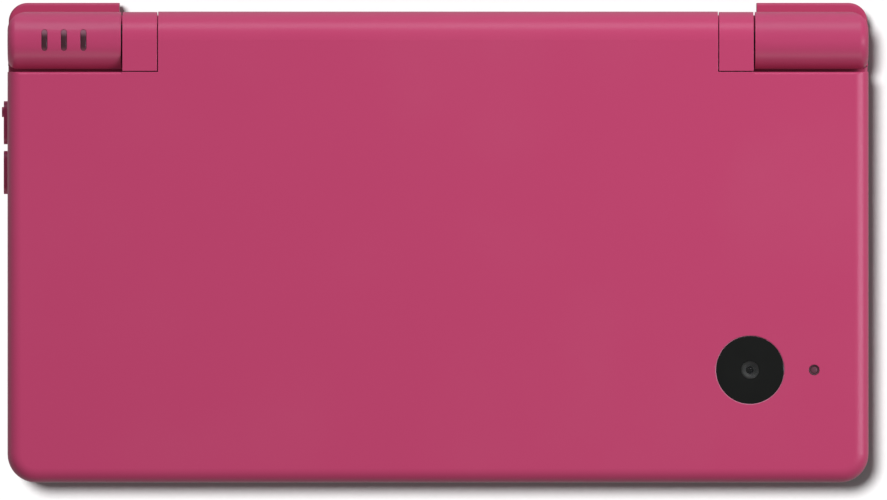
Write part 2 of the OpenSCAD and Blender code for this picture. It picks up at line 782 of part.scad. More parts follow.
module main_board() {
    color("#2f6f4a")
    difference() {
        union() {
            box(board_x0, board_x1, board_y0, board_y1, board_z, board_top_z);
            // Tongue over the card slot and the charger socket
            box(-board_rear_w / 2, board_rear_w / 2, board_y1 - past, rear_in_y - 0.3, board_z,
                board_top_z);
            // Processor and memory beside the menu buttons, power parts behind the cross pad
            box(menu_x + 3.8, menu_x + 11.8, menu_y - 9, menu_y + 2, board_top_z - seat,
                board_top_z + 1.3);
            box(control_x - 5, control_x + 5, control_y + 12.5, control_y + 18.5,
                board_top_z - seat, board_top_z + 1);
            box(-control_x - 5, -control_x + 5, control_y + 13, control_y + 18,
                board_top_z - seat, board_top_z + 0.9);
            // Contacts of the battery
            for (i = [-1, 0, 1])
                box(contact_x + i * contact_pitch - contact_w / 2,
                    contact_x + i * contact_pitch + contact_w / 2, contact_y - contact_l / 2,
                    contact_y + contact_l / 2, bay_top_z - seat, board_z + seat);
        }
        for (p = case_screw_at)
            upright(upper_boss_r + 0.15, p[0], p[1], board_z - past, board_top_z + past);
        box(board_x0 - past, jack_x + jack_half + 0.35, board_y0 - past,
            front_y + wall + jack_l + 0.3, board_z - past, board_top_z + past);
    }
}

// A small board with a shielded radio, on the main board beside the headphone socket
module wireless_module() {
    x0 = jack_x + jack_half + 0.65;
    x1 = -menu_x - switch_half - 0.5;
    color("#37424f")
    union() {
        box(x0, x1, board_y0 + 1, board_y0 + 4.5, board_top_z + seat, board_top_z + 1.2);
        box(x0 + 1, x1, board_y0 + 4, board_y0 + 14, board_top_z + seat, board_top_z + 1.9);
    }
}

module card_socket() {
    color("#4a4a4e")
    difference() {
        box(-card_slot_w / 2 - socket_rail, card_slot_w / 2 + socket_rail,
            socket_y0, rear_in_y - seat, floor_z + seat, board_z - seat);
        box(-card_slot_w / 2, card_slot_w / 2, rear_y - card_depth, rear_y, floor_z - past,
            board_z + past);
        // Contact slots in the inner end
        for (i = [-8 : 8])
            translate([i * 1.7 - 0.3, rear_y - card_depth - 1, floor_z + 1])
                cube([0.6, past + 1, 2]);
    }
}

module memory_card_socket() {
    x0 = half_w - wall - memory_pad_t - 30;
    x1 = half_w - wall - memory_pad_t - seat;
    shell = 0.35;
    w = memory_slot_w;
    color("#c2c6cb")
    difference() {
        box(x0, x1, memory_y - w / 2 - shell, memory_y + w / 2 + shell,
            memory_zc - memory_slot_h / 2 - shell, board_z - seat);
        box(x0 + 1.5, x1 + past, memory_y - w / 2, memory_y + w / 2,
            memory_zc - memory_slot_h / 2, memory_zc + memory_slot_h / 2);
        box(x0 + 8, x0 + 20, memory_y - w / 4, memory_y + w / 4,
            memory_zc - memory_slot_h / 2 - past, memory_zc);
    }
}

// A screen module: a shallow metal tray that holds the glass
module screen_module(y, z, t) {
    translate([0, y, z]) difference() {
        linear_extrude(t) square([module_w, module_d], center = true);
        translate([0, 0, t - 0.2]) linear_extrude(past)
            square([screen_w + 0.6, screen_d + 0.6], center = true);
    }
    translate([0, y, z + t - 0.25]) linear_extrude(0.2)
        square([screen_w + 0.4, screen_d + 0.4], center = true);
}

module lower_screen() {
    color("#1d1f24") screen_module(lower_screen_y, board_top_z + seat, lower_module_t - seat);
}

module touch_panel() {
    color("#9fb4c0")
    translate([0, lower_screen_y, touch_z1 - touch_t + seat])
        linear_extrude(touch_t - seat) square([module_w, module_d], center = true);
}

// The cross pad rocks on a nub in its middle
pad_pivot_z = board_top_z + 1.2;
pad_flange_t = 0.7;
pad_dish_r = 34;
pad_nub_r = 1.1;

module d_pad() {
    color("#a8385f")
    translate([-control_x, control_y, 0]) difference() {
        union() {
            translate([0, 0, pad_pivot_z]) cylinder(r = pad_flange_r, h = pad_flange_t);
            translate([0, 0, pad_pivot_z]) linear_extrude(deck_z + pad_proud - pad_pivot_z)
                cross(pad_size, pad_arm_w);
        }
        // Dished top and the socket for the nub
        translate([0, 0, deck_z + pad_proud + pad_dish_r - 0.35]) sphere(r = pad_dish_r);
        translate([0, 0, pad_pivot_z]) sphere(r = pad_nub_r + running);
    }
}

module d_pad_pivot() {
    color("#8c8c90")
    translate([-control_x, control_y, 0]) union() {
        upright(pad_nub_r - 0.2, 0, 0, board_top_z + seat, pad_pivot_z);
        translate([0, 0, pad_pivot_z]) sphere(r = pad_nub_r);
    }
}

module d_pad_membrane() {
    color("#b9b4ac")
    translate([-control_x, control_y, board_top_z + seat]) difference() {
        union() {
            linear_extrude(0.3) round_rect(pad_size + 1, pad_size + 1, 3);
            for (a = [0 : 90 : 270])
                rotate([0, 0, a]) translate([pad_size * 0.36, 0, 0])
                    rotate_extrude() edge_profile(2.2, 0.5, 0, 0.2);
        }
        translate([0, 0, -past]) cylinder(r = pad_nub_r + 0.3, h = 3);
    }
}

menu_proud = 0.35;
button_flange_t = 0.8;
button_flange_z = deck_under_z - seat - button_flange_t;

// A push button: a cap with a rounded rim and a flange that keeps it under the deck
module push_button(d, proud, flange) {
    translate([0, 0, button_flange_z]) {
        rotate_extrude() edge_profile(d / 2, deck_z + proud - button_flange_z, 0, 0.45);
        cylinder(r = d / 2 + flange, h = button_flange_t);
    }
}

module face_button(i) {
    color("#a8385f") face_place(i) push_button(face_button_d, button_proud, 0.45);
}

module button_top() { face_button(0); }
module button_right() { face_button(1); }
module button_bottom() { face_button(2); }
module button_left() { face_button(3); }

dome_top_z = button_flange_z - button_travel - seat;

module dome(r) {
    rotate_extrude() edge_profile(r, dome_top_z - board_top_z - seat, 0, 0.4);
}

module face_button_membrane() {
    color("#b9b4ac")
    union() {
        translate([control_x, control_y, board_top_z + seat]) linear_extrude(0.5)
            round_rect(2 * face_button_pitch + 7, 2 * face_button_pitch + 7, 4);
        for (i = [0 : 3]) face_place(i) translate([0, 0, board_top_z + seat]) dome(2.4);
    }
}

module menu_button(x, y) {
    color("#a8385f") translate([x, y, 0]) push_button(menu_button_d, menu_proud, 0.4);
}

module start_button() { menu_button(menu_x, menu_y); }
module select_button() { menu_button(menu_x, menu_y - menu_pitch); }
module power_button() { menu_button(-menu_x, menu_y - menu_pitch); }

module menu_membrane() {
    color("#b9b4ac")
    union() {
        translate([menu_x + 0.2, menu_y - menu_pitch / 2, board_top_z + seat]) linear_extrude(0.5)
            slot(menu_pitch + 5, 4.6);
        for (y = [menu_y, menu_y - menu_pitch])
            translate([menu_x, y, board_top_z + seat]) dome(1.6);
    }
}

module power_switch() {
    color("#c9c4b8")
    translate([-menu_x, menu_y - menu_pitch, board_top_z + seat]) {
        translate([-switch_half, -switch_half, 0]) cube([2 * switch_half, 2 * switch_half, 0.7]);
        translate([0, 0, 0.65]) cylinder(r = 1.1, h = dome_top_z - board_top_z - seat - 0.65);
    }
}

// The right shoulder button: a moulded corner on a vertical pivot at its inner end
module shoulder_button() {
    r = rear_corner_r;
    coil_room = shoulder_coil_r + 0.35;
    difference() {
        translate([0, 0, shoulder_z0]) union() {
            translate([half_w - r, shoulder_y - r, 0])
                rotate_extrude(angle = 90) edge_profile(r, shoulder_h, 0.5, 0.5);
            translate([shoulder_x, shoulder_y - r, 0]) rotate([90, 0, 90])
                linear_extrude(half_w - r - shoulder_x) edge_profile(r, shoulder_h, 0.5, 0.5);
            translate([half_w - r, shoulder_y - r, 0]) rotate([90, 0, 0])
                linear_extrude(shoulder_side_l - r) edge_profile(r, shoulder_h, 0.5, 0.5);
            box(shoulder_x, half_w - r, shoulder_front_y, shoulder_y - r, 0, shoulder_h);
        }
        // Hollow behind the skin, open to the front, with a rib that presses the switch
        difference() {
            box(shoulder_pin_x + shoulder_eye_r, half_w - shoulder_wall, shoulder_front_y - past,
                shoulder_y - shoulder_wall, shoulder_z0 + shoulder_wall,
                shoulder_z1 - shoulder_wall);
            box(shoulder_rib_x - shoulder_rib_w / 2, shoulder_rib_x + shoulder_rib_w / 2,
                shoulder_front_y, shoulder_y, shoulder_z0, shoulder_z1);
        }
        upright(shoulder_pin_d / 2 + running, shoulder_pin_x, shoulder_pin_y,
            shoulder_z0 - past, shoulder_z1 + past);
        // Room for the spring and its two legs
        upright(coil_room, shoulder_pin_x, shoulder_pin_y, shoulder_z1 - shoulder_coil_h,
            shoulder_z1 + past);
        box(shoulder_x - past, shoulder_pin_x - shoulder_coil_r + coil_room / 2,
            shoulder_front_y - past, shoulder_pin_y, shoulder_z1 - shoulder_coil_h,
            shoulder_z1 + past);
        box(shoulder_pin_x, shoulder_pin_x + 4.2, shoulder_pin_y + shoulder_coil_r / 2,
            shoulder_pin_y + shoulder_coil_r + 0.6, shoulder_z1 - shoulder_coil_h,
            shoulder_z1 + past);
    }
}

module left_shoulder_button() { color("#a8385f") mirror([1, 0, 0]) shoulder_button(); }
module right_shoulder_button() { color("#a8385f") shoulder_button(); }

module shoulder_pins() {
    color("#b8bcc2")
    both_sides()
        upright(shoulder_pin_d / 2, shoulder_pin_x, shoulder_pin_y, floor_z - 0.25,
            deck_under_z - seat);
}

// Torsion springs on the pins: one leg lies against the bay, the other in the button
module shoulder_springs() {
    turn_h = 2.2 * shoulder_wire_r;
    turns = 3;
    color("#b8bcc2")
    both_sides()
        translate([shoulder_pin_x, shoulder_pin_y, shoulder_z1 - shoulder_coil_h + seat]) union() {
            rotate_extrude() translate([shoulder_coil_r - shoulder_wire_r, 0]) {
                square([shoulder_wire_r, turns * turn_h]);
                for (i = [0 : turns - 1])
                    translate([0, i * turn_h]) square([2 * shoulder_wire_r, 0.8 * turn_h]);
            }
            translate([-shoulder_coil_r, 0, turns * turn_h - 2 * shoulder_wire_r])
                rotate([90, 0, 0]) cylinder(r = shoulder_wire_r, h = 2.7);
            translate([0, shoulder_coil_r, shoulder_wire_r]) rotate([0, 90, 0])
                cylinder(r = shoulder_wire_r, h = 3.9);
        }
}

// Switches under the main board's back edge, with plungers that the buttons' ribs press
module shoulder_switches() {
    y1 = bay_front_y - seat;
    z = board_z - 0.8;
    color("#2b2b2e")
    both_sides() union() {
        box(shoulder_rib_x - 2.6, shoulder_rib_x + 2.6, y1 - 2.6, y1, board_z - 1.6, board_z - seat);
        translate([shoulder_rib_x, y1 - seat, z]) rotate([-90, 0, 0])
            cylinder(r = 0.6, h = shoulder_front_y - shoulder_switch_gap - y1 + seat);
    }
}

// A side key with its face outside and a wider flange behind the wall
module volume_key(y) {
    volume_bar(y, -half_w - volume_proud, volume_flange_x + seat, 0);
    volume_bar(y, volume_flange_x, volume_flange_x + volume_flange_t, volume_flange);
}

module volume_up_key() {
    nub_w = 1.6;
    nub_y = volume_y1 + volume_key_l - volume_key_h / 2 - 0.25;
    color("#a8385f")
    union() {
        volume_key(volume_y1);
        translate([-half_w - volume_proud - volume_nub_h, nub_y, volume_z])
            rotate([0, 90, 0]) linear_extrude(volume_nub_h + volume_proud)
            rotate([0, 0, 90]) slot(volume_key_h - volume_flange, nub_w);
    }
}

module volume_down_key() {
    color("#a8385f") volume_key(volume_y0);
}

// An upright strip on the main board's edge, with a dome switch behind each key
module volume_switch_board() {
    color("#2f6f4a")
    union() {
        box(volume_board_x1 - volume_board_t, volume_board_x1, volume_y0, volume_y1 + volume_key_l,
            board_z - board_t, volume_z + volume_key_h / 2 + board_t);
        for (y = [volume_y0, volume_y1])
            translate([volume_switch_x, y + volume_key_l / 2, volume_z]) rotate([0, 90, 0])
                cylinder(r = volume_key_h / 3, h = volume_dome_h + seat);
    }
}

module memory_card_cover() {
    z0 = memory_zc - cover_h / 2;
    color("#a8385f")
    difference() {
        union() {
            box(half_w - cover_t, half_w, cover_pin_y, cover_y0 + cover_l, z0, z0 + cover_h);
            upright(cover_eye_r, cover_pin_x, cover_pin_y, z0, z0 + cover_h);
            // Spigots that the cover turns on
            upright(cover_pin_r, cover_pin_x, cover_pin_y, z0 - 0.7, z0 + cover_h + 0.7);
        }
        // Finger notch at the free end
        translate([half_w + 0.3, cover_y0 + cover_l - 1.2, memory_zc]) rotate([0, 90, 0])
            cylinder(r = 1.1, h = 2, center = true);
    }
}

module headphone_socket() {
    color("#26262a")
    difference() {
        box(jack_x - jack_half, jack_x + jack_half, front_y + wall + seat,
            front_y + wall + jack_l, jack_z - jack_half, jack_z + jack_half);
        translate([jack_x, front_y, jack_z]) rotate([-90, 0, 0])
            cylinder(d = jack_bore, h = wall + jack_l - jack_end);
    }
}

module charger_socket() {
    color("#26262a")
    union() {
        translate([charger_x, rear_y - 6, charger_z]) rotate([-90, 0, 0]) difference() {
            linear_extrude(6 - 0.1)
                round_rect(charger_w + 2 * charger_shell, charger_h + 2 * charger_shell, 0.7);
            translate([0, 0, 1]) linear_extrude(6) round_rect(charger_w, charger_h, 0.4);
        }
        // Contact tongue
        box(charger_x - charger_w * 0.3, charger_x + charger_w * 0.3, rear_y - 5.5, rear_y - 1.4,
            charger_z - 0.4, charger_z + 0.4);
    }
}

module status_lenses() {
    color("#6d5560")
    union() {
        box(status_x - status_pitch - 1.5, status_x + status_pitch + 1.5,
            status_y - status_l / 2 - 0.3, status_y + status_l / 2 + 0.3, lens_plate_z,
            lens_plate_z + 0.8);
        for (i = [-1, 0, 1])
            translate([status_x + i * status_pitch, status_y, lens_plate_z])
                linear_extrude(closed_h - barrel_drop - lens_sink - lens_plate_z)
                slot(status_l - 0.1, status_w - 0.1);
    }
}

module status_light_board() {
    t = 0.6;
    drop = 0.4;
    w = 2 * sqrt(barrel_bore_r ^ 2 - drop ^ 2) - 2 * seat;
    color("#2f6f4a")
    union() {
        box(status_x - status_pitch - 2, status_x + status_pitch + 1.9, hinge_y - w / 2,
            hinge_y + w / 2, hinge_z - drop, hinge_z - drop + t);
        for (i = [-1, 0, 1])
            box(status_x + i * status_pitch - 0.4, status_x + i * status_pitch + 0.4,
                status_y - 0.8, status_y + 0.8, hinge_z - drop + t - seat, lens_plate_z - seat);
    }
}

// The stylus: a tapered tip, a plain barrel and a head cut flush with the case's corner
module stylus() {
    r = stylus_d / 2;
    tip_l = 7;
    tip_r = 0.7;
    color("#a8385f")
    intersection() {
        translate([half_w, stylus_y, stylus_z]) rotate([0, -90, 0]) union() {
            cylinder(r = r, h = stylus_l - tip_l);
            translate([0, 0, stylus_l - tip_l]) cylinder(r1 = r, r2 = tip_r, h = tip_l - tip_r);
            translate([0, 0, stylus_l - tip_r]) sphere(r = tip_r);
        }
        base_block(base_z, deck_z, 0, base_edge_r, 0);
    }
}

click_l = outer_barrel_l - barrel_bore_end - 0.6;

// The click unit: a steel barrel with a collar, bored for its shaft
module hinge_click_unit() {
    color("#9ea3a8")
    difference() {
        on_hinge(click_d / 2, barrel_x + 0.5, barrel_x + 0.5 + click_l);
        on_hinge(click_shaft_d / 2 + running, barrel_x - past, barrel_x + 10);
    }
}

module hinge_click_shaft() {
    color("#9ea3a8")
    union() {
        on_hinge(click_shaft_d / 2, knuckle_x1 - 0.5, barrel_x + 9.5);
        translate([knuckle_x0 + 0.3, hinge_y, hinge_z]) rotate([0, 90, 0])
            cylinder(r = click_shaft_d / 2 + 0.9, h = knuckle_l - 0.4, $fn = 6);
    }
}

module hinge_sleeve() {
    color("#9ea3a8")
    difference() {
        on_hinge(sleeve_d / 2, -barrel_x - sleeve_in + 0.2, -knuckle_x0 - 0.2);
        on_hinge(sleeve_bore / 2, -barrel_x - sleeve_in - past, -knuckle_x0 + past);
    }
}

// Places in the lid
camera_x = half_w - camera_from_side;
camera_y = front_y + camera_from_front;
light_x = camera_x + light_pitch;
lid_screw_x = half_w - 6.5;
lid_screw_at = [[-lid_screw_x, front_y + 5.5], [lid_screw_x, front_y + 5.5],
    [-lid_screw_x, lid_rear_y - 5.5], [lid_screw_x, lid_rear_y - 5.5]];
lid_screw_r = 0.8;
bumper_r = 2.6;
bumper_sink = 0.5;
speaker_y = upper_screen_y;
speaker_x = half_w - 16;
inner_camera_r = 1.9;
mic_x = 9;
lid_board_z = lid_face_z + 2 * seat + upper_module_t;
lid_board_top_z = lid_board_z + 0.7;
connector_x = -centre_x + wall + 11.25;
ribbon_t = 0.25;
ribbon_y0 = upper_screen_y + 14;
ribbon_y1 = upper_screen_y + 20;

module lid_outer_cover() {
    color("#bc456c")
    difference() {
        union() {
            lid_block(lid_split_z, closed_h, 0, 0, lid_edge_r);
            intersection() {
                union() {
                    on_hinge(closed_h - hinge_z, -centre_x, centre_x);
                    box(-centre_x, centre_x, lid_rear_y - wall, hinge_y, lid_split_z, closed_h);
                }
                box(-half_w, half_w, lid_rear_y - wall, back_y + past, lid_split_z, closed_h);
            }
        }
        difference() {
            union() {
                lid_block(lid_split_z - past, lid_under_z, wall);
                box(-centre_x + wall, centre_x - wall, lid_rear_y - 2 * wall, hinge_y,
                    lid_split_z - past, lid_under_z);
                on_hinge(barrel_r - barrel_wall, -centre_x + wall, centre_x - wall);
            }
            // Bosses that the lid's screws bite into
            for (p = lid_screw_at) upright(2.2, p[0], p[1], lid_face_z + 1.1, closed_h);
        }
        // Rounded back edge beside the outer barrels
        both_sides() difference() {
            box(barrel_x - seam, half_w + past, lid_rear_y - lid_back_r, lid_rear_y + past,
                closed_h - lid_back_r, closed_h + past);
            translate([barrel_x - 1, lid_rear_y - lid_back_r, closed_h - lid_back_r])
                rotate([0, 90, 0]) cylinder(r = lid_back_r, h = half_w);
        }
        // Groove for the inner frame's lip
        difference() {
            lid_block(lid_split_z - past, lid_split_z + lip_h + seat, wall - lip_t - seat);
            lid_block(lid_split_z - 2 * past, lid_split_z + lip_h + past, wall);
        }
        // Way of the ribbon out of the left knuckle
        on_hinge(sleeve_d / 2, -knuckle_x0 - past, -centre_x + wall + past);
        for (p = lid_screw_at)
            upright(lid_screw_r + seat, p[0], p[1], lid_z, lid_under_z - 0.4);
        // Recess and hole of the outer camera, and the hole of the recording light
        upright(camera_window_d / 2 + seat, camera_x, camera_y, closed_h - 0.8, closed_h + past);
        upright(3.2, camera_x, camera_y, lid_under_z - past, closed_h + past);
        upright(light_d / 2 + seat, light_x, camera_y, lid_under_z - past, closed_h + past);
    }
}

module knuckle() {
    on_hinge(barrel_r, knuckle_x0, knuckle_x1);
    box(knuckle_x0, knuckle_x1, lid_rear_y + seam, hinge_y, lid_z + 0.3, closed_h - barrel_drop);
}

module lid_inner_frame() {
    color("#b53e68")
    difference() {
        union() {
            difference() {
                lid_block(lid_z, lid_split_z - seat, 0, inner_edge_r, 0);
                lid_block(lid_face_z, lid_split_z + past, wall);
            }
            // Lip that locates the outer cover
            difference() {
                lid_block(lid_face_z, lid_split_z + lip_h, wall - lip_t);
                lid_block(lid_face_z - past, lid_split_z + lip_h + past, wall);
            }
            // Middle barrel's lower part and the plate that leads into it
            intersection() {
                union() {
                    on_hinge(barrel_r, -centre_x, centre_x);
                    box(-centre_x, centre_x, lid_rear_y - wall, hinge_y, lid_z, lid_split_z);
                }
                box(-half_w, half_w, lid_rear_y - wall, back_y + past, hinge_z - barrel_r - past,
                    lid_split_z - seat);
            }
            both_sides() knuckle();
            both_sides()
                box(centre_x - wall, knuckle_x1, lid_rear_y - wall, hinge_y, lid_z,
                    lid_face_z);
            for (p = lid_screw_at) upright(3, p[0], p[1], lid_z + seat, lid_face_z + 1);
        }
        // Hollow of the middle barrel
        on_hinge(barrel_r - barrel_wall, -centre_x + wall, centre_x - wall);
        box(-centre_x + wall, centre_x - wall, lid_rear_y - 2 * wall, hinge_y, lid_face_z,
            lid_split_z + lip_h + past);
        // Bore for the sleeve on the left, six-sided hole for the click shaft on the right
        on_hinge(sleeve_d / 2 + seat, -knuckle_x1 - past, -centre_x + wall + past);
        translate([centre_x - wall - past, hinge_y, hinge_z]) rotate([0, 90, 0])
            cylinder(r = click_shaft_d / 2 + 0.95, h = knuckle_l + wall + 2 * past + 0.4, $fn = 6);
        // Upper screen: the picture's opening and the recess for the clear window
        translate([0, upper_screen_y, lid_z - past]) linear_extrude(lid_face_t + 2 * past)
            square([screen_w + 1.4, screen_d + 1.4], center = true);
        translate([0, upper_screen_y, lid_z - past]) linear_extrude(past + window_t + 2 * seat)
            round_rect(screen_w + 2 * window_border + 0.2, screen_d + 2 * window_border + 0.2, 2);
        // Speaker slots
        both_sides() for (i = [-1, 0, 1])
            translate([speaker_x + i * 2.6, speaker_y, lid_z - past])
                linear_extrude(lid_face_t + 2 * past) slot(8, 1.2);
        for (p = lid_screw_at) {
            upright(bumper_r + seat, p[0], p[1], lid_z - past, lid_z + bumper_sink);
            upright(1.75, p[0], p[1], lid_z - past, lid_z + bumper_sink + 0.9);
            upright(lid_screw_r + screw_clear, p[0], p[1], lid_z, lid_face_z + 2);
        }
        // Inner camera and microphone in the middle barrel
        upright(inner_camera_r + seat, 0, hinge_y, hinge_z - barrel_r - past, hinge_z - 2.2);
        upright(0.5, mic_x, hinge_y, hinge_z - barrel_r - past, hinge_z - 2);
    }
}

module upper_screen() {
    color("#1d1f24")
    translate([0, 0, 2 * (lid_face_z + seat) + upper_module_t]) mirror([0, 0, 1])
        screen_module(upper_screen_y, lid_face_z + seat, upper_module_t);
}

module upper_screen_window() {
    color("#15161a")
    translate([0, upper_screen_y, lid_z + seat]) linear_extrude(window_t)
        round_rect(screen_w + 2 * window_border, screen_d + 2 * window_border, 2);
}

module speakers() {
    color("#3b3b40")
    both_sides()
        translate([speaker_x, speaker_y, lid_face_z + seat]) union() {
            linear_extrude(1.8) slot(14, 10);
            translate([0, 0, 1.75]) cylinder(r = 3.6, h = 1);
        }
}

module outer_camera_window() {
    color("#1b1c1a")
    upright(camera_window_d / 2, camera_x, camera_y, closed_h - 0.75, closed_h - 0.05);
}

module outer_camera_module() {
    color("#26262a")
    translate([camera_x, camera_y, 0]) difference() {
        union() {
            translate([-3.5, -3.5, lid_face_z + seat]) cube([7, 7, 2.2]);
            translate([0, 0, lid_face_z + 2]) cylinder(r = 2.9, h = closed_h - 0.85 - lid_face_z - 2);
        }
        translate([0, 0, closed_h - 1.8])
            cylinder(d = camera_lens_d + 0.1, h = 2);
    }
}

module outer_camera_lens() {
    color("#4d5054")
    translate([camera_x, camera_y, closed_h - 1.75]) intersection() {
        cylinder(d = camera_lens_d, h = 0.9);
        translate([0, 0, -2.2]) sphere(r = 3);
    }
}

module recording_light() {
    color("#68424f")
    union() {
        upright(light_d / 2, light_x, camera_y, lid_under_z - 1, closed_h - 0.1);
        upright(light_d / 2 + 0.5, light_x, camera_y, lid_face_z + seat, lid_under_z - seat);
    }
}

module inner_camera_window() {
    color("#1b1c1a")
    upright(inner_camera_r, 0, hinge_y, hinge_z - barrel_r + 0.45, hinge_z - barrel_r + 1);
}

module inner_camera_module() {
    color("#26262a")
    translate([0, hinge_y, 0]) union() {
        translate([0, 0, hinge_z - barrel_r + 1 + seat]) cylinder(r = 1.6, h = 1.4);
        translate([-2.3, -2.3, hinge_z - 2.4]) cube([4.6, 4.6, 1.7]);
    }
}

module microphone() {
    color("#8f9499") upright(1.9, mic_x, hinge_y, hinge_z - 2.7, hinge_z - 1.1);
}

module lid_bumpers() {
    color("#8d3355")
    for (p = lid_screw_at)
        translate([p[0], p[1], lid_z + bumper_sink - seat]) mirror([0, 0, 1])
            rotate_extrude() edge_profile(bumper_r, bumper_sink + lid_gap - 2 * seat, 0, 0.5);
}

module lid_screws() {
    color("#b8bcc2")
    for (p = lid_screw_at)
        translate([p[0], p[1], lid_z + bumper_sink + seat]) union() {
            cylinder(r = 1.6, h = 0.8);
            cylinder(r = lid_screw_r, h = lid_under_z - 0.8 - lid_z - bumper_sink);
        }
}

// A thin board behind the upper screen, with the ribbon's connector on its left
module lid_board() {
    color("#2f6f4a")
    union() {
        box(connector_x - 2, 30, upper_screen_y + 2, upper_screen_y + 24, lid_board_z,
            lid_board_top_z);
        box(-6, 6, upper_screen_y + 8, upper_screen_y + 18, lid_board_top_z - seat,
            lid_under_z - 0.15);
        box(connector_x, connector_x + 2, ribbon_y0 - 0.5, ribbon_y1 + 0.5, lid_board_top_z - seat,
            lid_board_top_z + 0.7);
    }
}

module lid_magnet() {
    color("#7d8084")
    box(-lid_screw_x - 1, -lid_screw_x + 4, front_y + 14, front_y + 17, lid_face_z + seat,
        lid_face_z + 1.5);
}

// The ribbon to the upper screen: rolled inside the sleeve, then flat up to its connector
module display_cable() {
    roll_r = sleeve_bore / 2 - 0.2;
    x0 = -centre_x + wall + 0.2;
    x1 = x0 + 4.5;
    y1 = lid_rear_y - 3;
    z0 = hinge_z + roll_r - ribbon_t;
    z1 = lid_board_top_z + seat;
    color("#c08a3c")
    union() {
        difference() {
            on_hinge(roll_r, -barrel_x - sleeve_in + 0.4, x1);
            on_hinge(roll_r - 0.35, -barrel_x - sleeve_in - past, x1 + past);
        }
        box(x0, x1, y1, hinge_y, z0, z0 + ribbon_t);
        box(x0, x1, y1, y1 + ribbon_t, z0, z1 + ribbon_t);
        box(x0, x1, ribbon_y0, y1 + ribbon_t, z1, z1 + ribbon_t);
        box(x0, connector_x - seat, ribbon_y0, ribbon_y1, z1, z1 + ribbon_t);
    }
}

base_lower_case();
base_upper_case();
battery_cover();
battery_pack();
battery_cover_screws();
case_screws();
foot_pads();
main_board();
wireless_module();
card_socket();
memory_card_socket();
lower_screen();
touch_panel();
d_pad();
d_pad_pivot();
d_pad_membrane();
button_top();
button_right();
button_bottom();
button_left();
face_button_membrane();
start_button();
select_button();
menu_membrane();
power_button();
power_switch();
left_shoulder_button();
right_shoulder_button();
shoulder_pins();
shoulder_springs();
shoulder_switches();
volume_up_key();
volume_down_key();
volume_switch_board();
memory_card_cover();
headphone_socket();
charger_socket();
status_lenses();
status_light_board();
stylus();
hinge_click_unit();
lid_outer_cover();
lid_inner_frame();
upper_screen();
upper_screen_window();
speakers();
outer_camera_window();
outer_camera_module();
outer_camera_lens();
recording_light();
inner_camera_window();
inner_camera_module();
microphone();
lid_bumpers();
lid_screws();
lid_board();
lid_magnet();
hinge_click_shaft();
hinge_sleeve();
display_cable();
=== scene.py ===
# %% [markdown]
# # A clamshell game console, dressed and lit
# The object is a folding console of 137 mm, closed and seen straight from above.
# Its sixty parts come from the CAD model as a fixed frame, and keep their places here.
# This lesson gives each part its finish, adds the small pieces that CAD leaves out, and lights
# the whole. Everything is in metres, because the frame is. `mm` turns drawing sizes into metres.

# %% Load the frame
import math

import bmesh
import bpy
import numpy as np
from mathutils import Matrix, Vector


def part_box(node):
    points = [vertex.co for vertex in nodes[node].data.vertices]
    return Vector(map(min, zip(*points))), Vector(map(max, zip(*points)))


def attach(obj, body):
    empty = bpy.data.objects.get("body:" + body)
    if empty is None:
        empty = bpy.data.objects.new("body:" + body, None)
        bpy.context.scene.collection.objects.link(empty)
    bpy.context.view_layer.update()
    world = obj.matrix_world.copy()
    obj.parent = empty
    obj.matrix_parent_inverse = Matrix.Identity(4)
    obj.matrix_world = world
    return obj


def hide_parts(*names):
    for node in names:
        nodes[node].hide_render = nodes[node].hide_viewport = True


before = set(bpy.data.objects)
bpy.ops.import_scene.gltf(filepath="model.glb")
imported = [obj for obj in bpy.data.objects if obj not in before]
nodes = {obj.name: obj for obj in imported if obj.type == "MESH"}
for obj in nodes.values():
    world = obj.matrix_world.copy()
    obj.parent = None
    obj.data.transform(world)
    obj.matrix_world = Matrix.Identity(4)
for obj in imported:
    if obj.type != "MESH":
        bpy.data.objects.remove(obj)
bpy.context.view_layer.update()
mm = 0.001


def span(node):
    """Lowest corner, highest corner and middle of a CAD part, as numpy rows in metres."""
    low, high = (np.array(corner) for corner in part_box(node))
    return low, high, (low + high) / 2


# %% [markdown]
# ## The camera
# The picture was taken from far away and straight above, so parallel edges stay parallel.
# An orthographic camera would do that too, but the other views set a new distance, and only a
# lens shows the difference. A very long lens, three metres up, gives the same flat look and
# still works from every side.

# %% Camera straight above the lid
picture_width, mm_per_pixel, distance = 887, 0.159, 3.0
field = picture_width * mm_per_pixel * mm
sight = np.array([0.87, -1.22]) * mm
lid_top = span("lid_outer_cover")[1][2]
lens = bpy.data.cameras.new("picture_camera")
lens.sensor_width = 36
lens.lens = lens.sensor_width * distance / field
camera = bpy.data.objects.new("picture_camera", lens)
camera.location = (sight[0], sight[1], lid_top + distance)
bpy.context.scene.collection.objects.link(camera)
bpy.context.scene.camera = camera
print("lens of", round(lens.lens), "mm shows", round(field / mm, 1), "mm at the lid")

# %% [markdown]
# ## Building a surface from numbers
# A machined or moulded piece is a surface of two parameters: one goes round it, the other along
# its section. Blender's own primitives could be stretched into place, but their edges would stay
# knife sharp. Here each piece is a grid of points worked out as whole arrays, so radii and steps
# are exact. Rings that shrink to one point are welded there, which closes the piece.

# %% Grid to mesh
weld_reach, crisp_angle = 2e-7, math.radians(32)


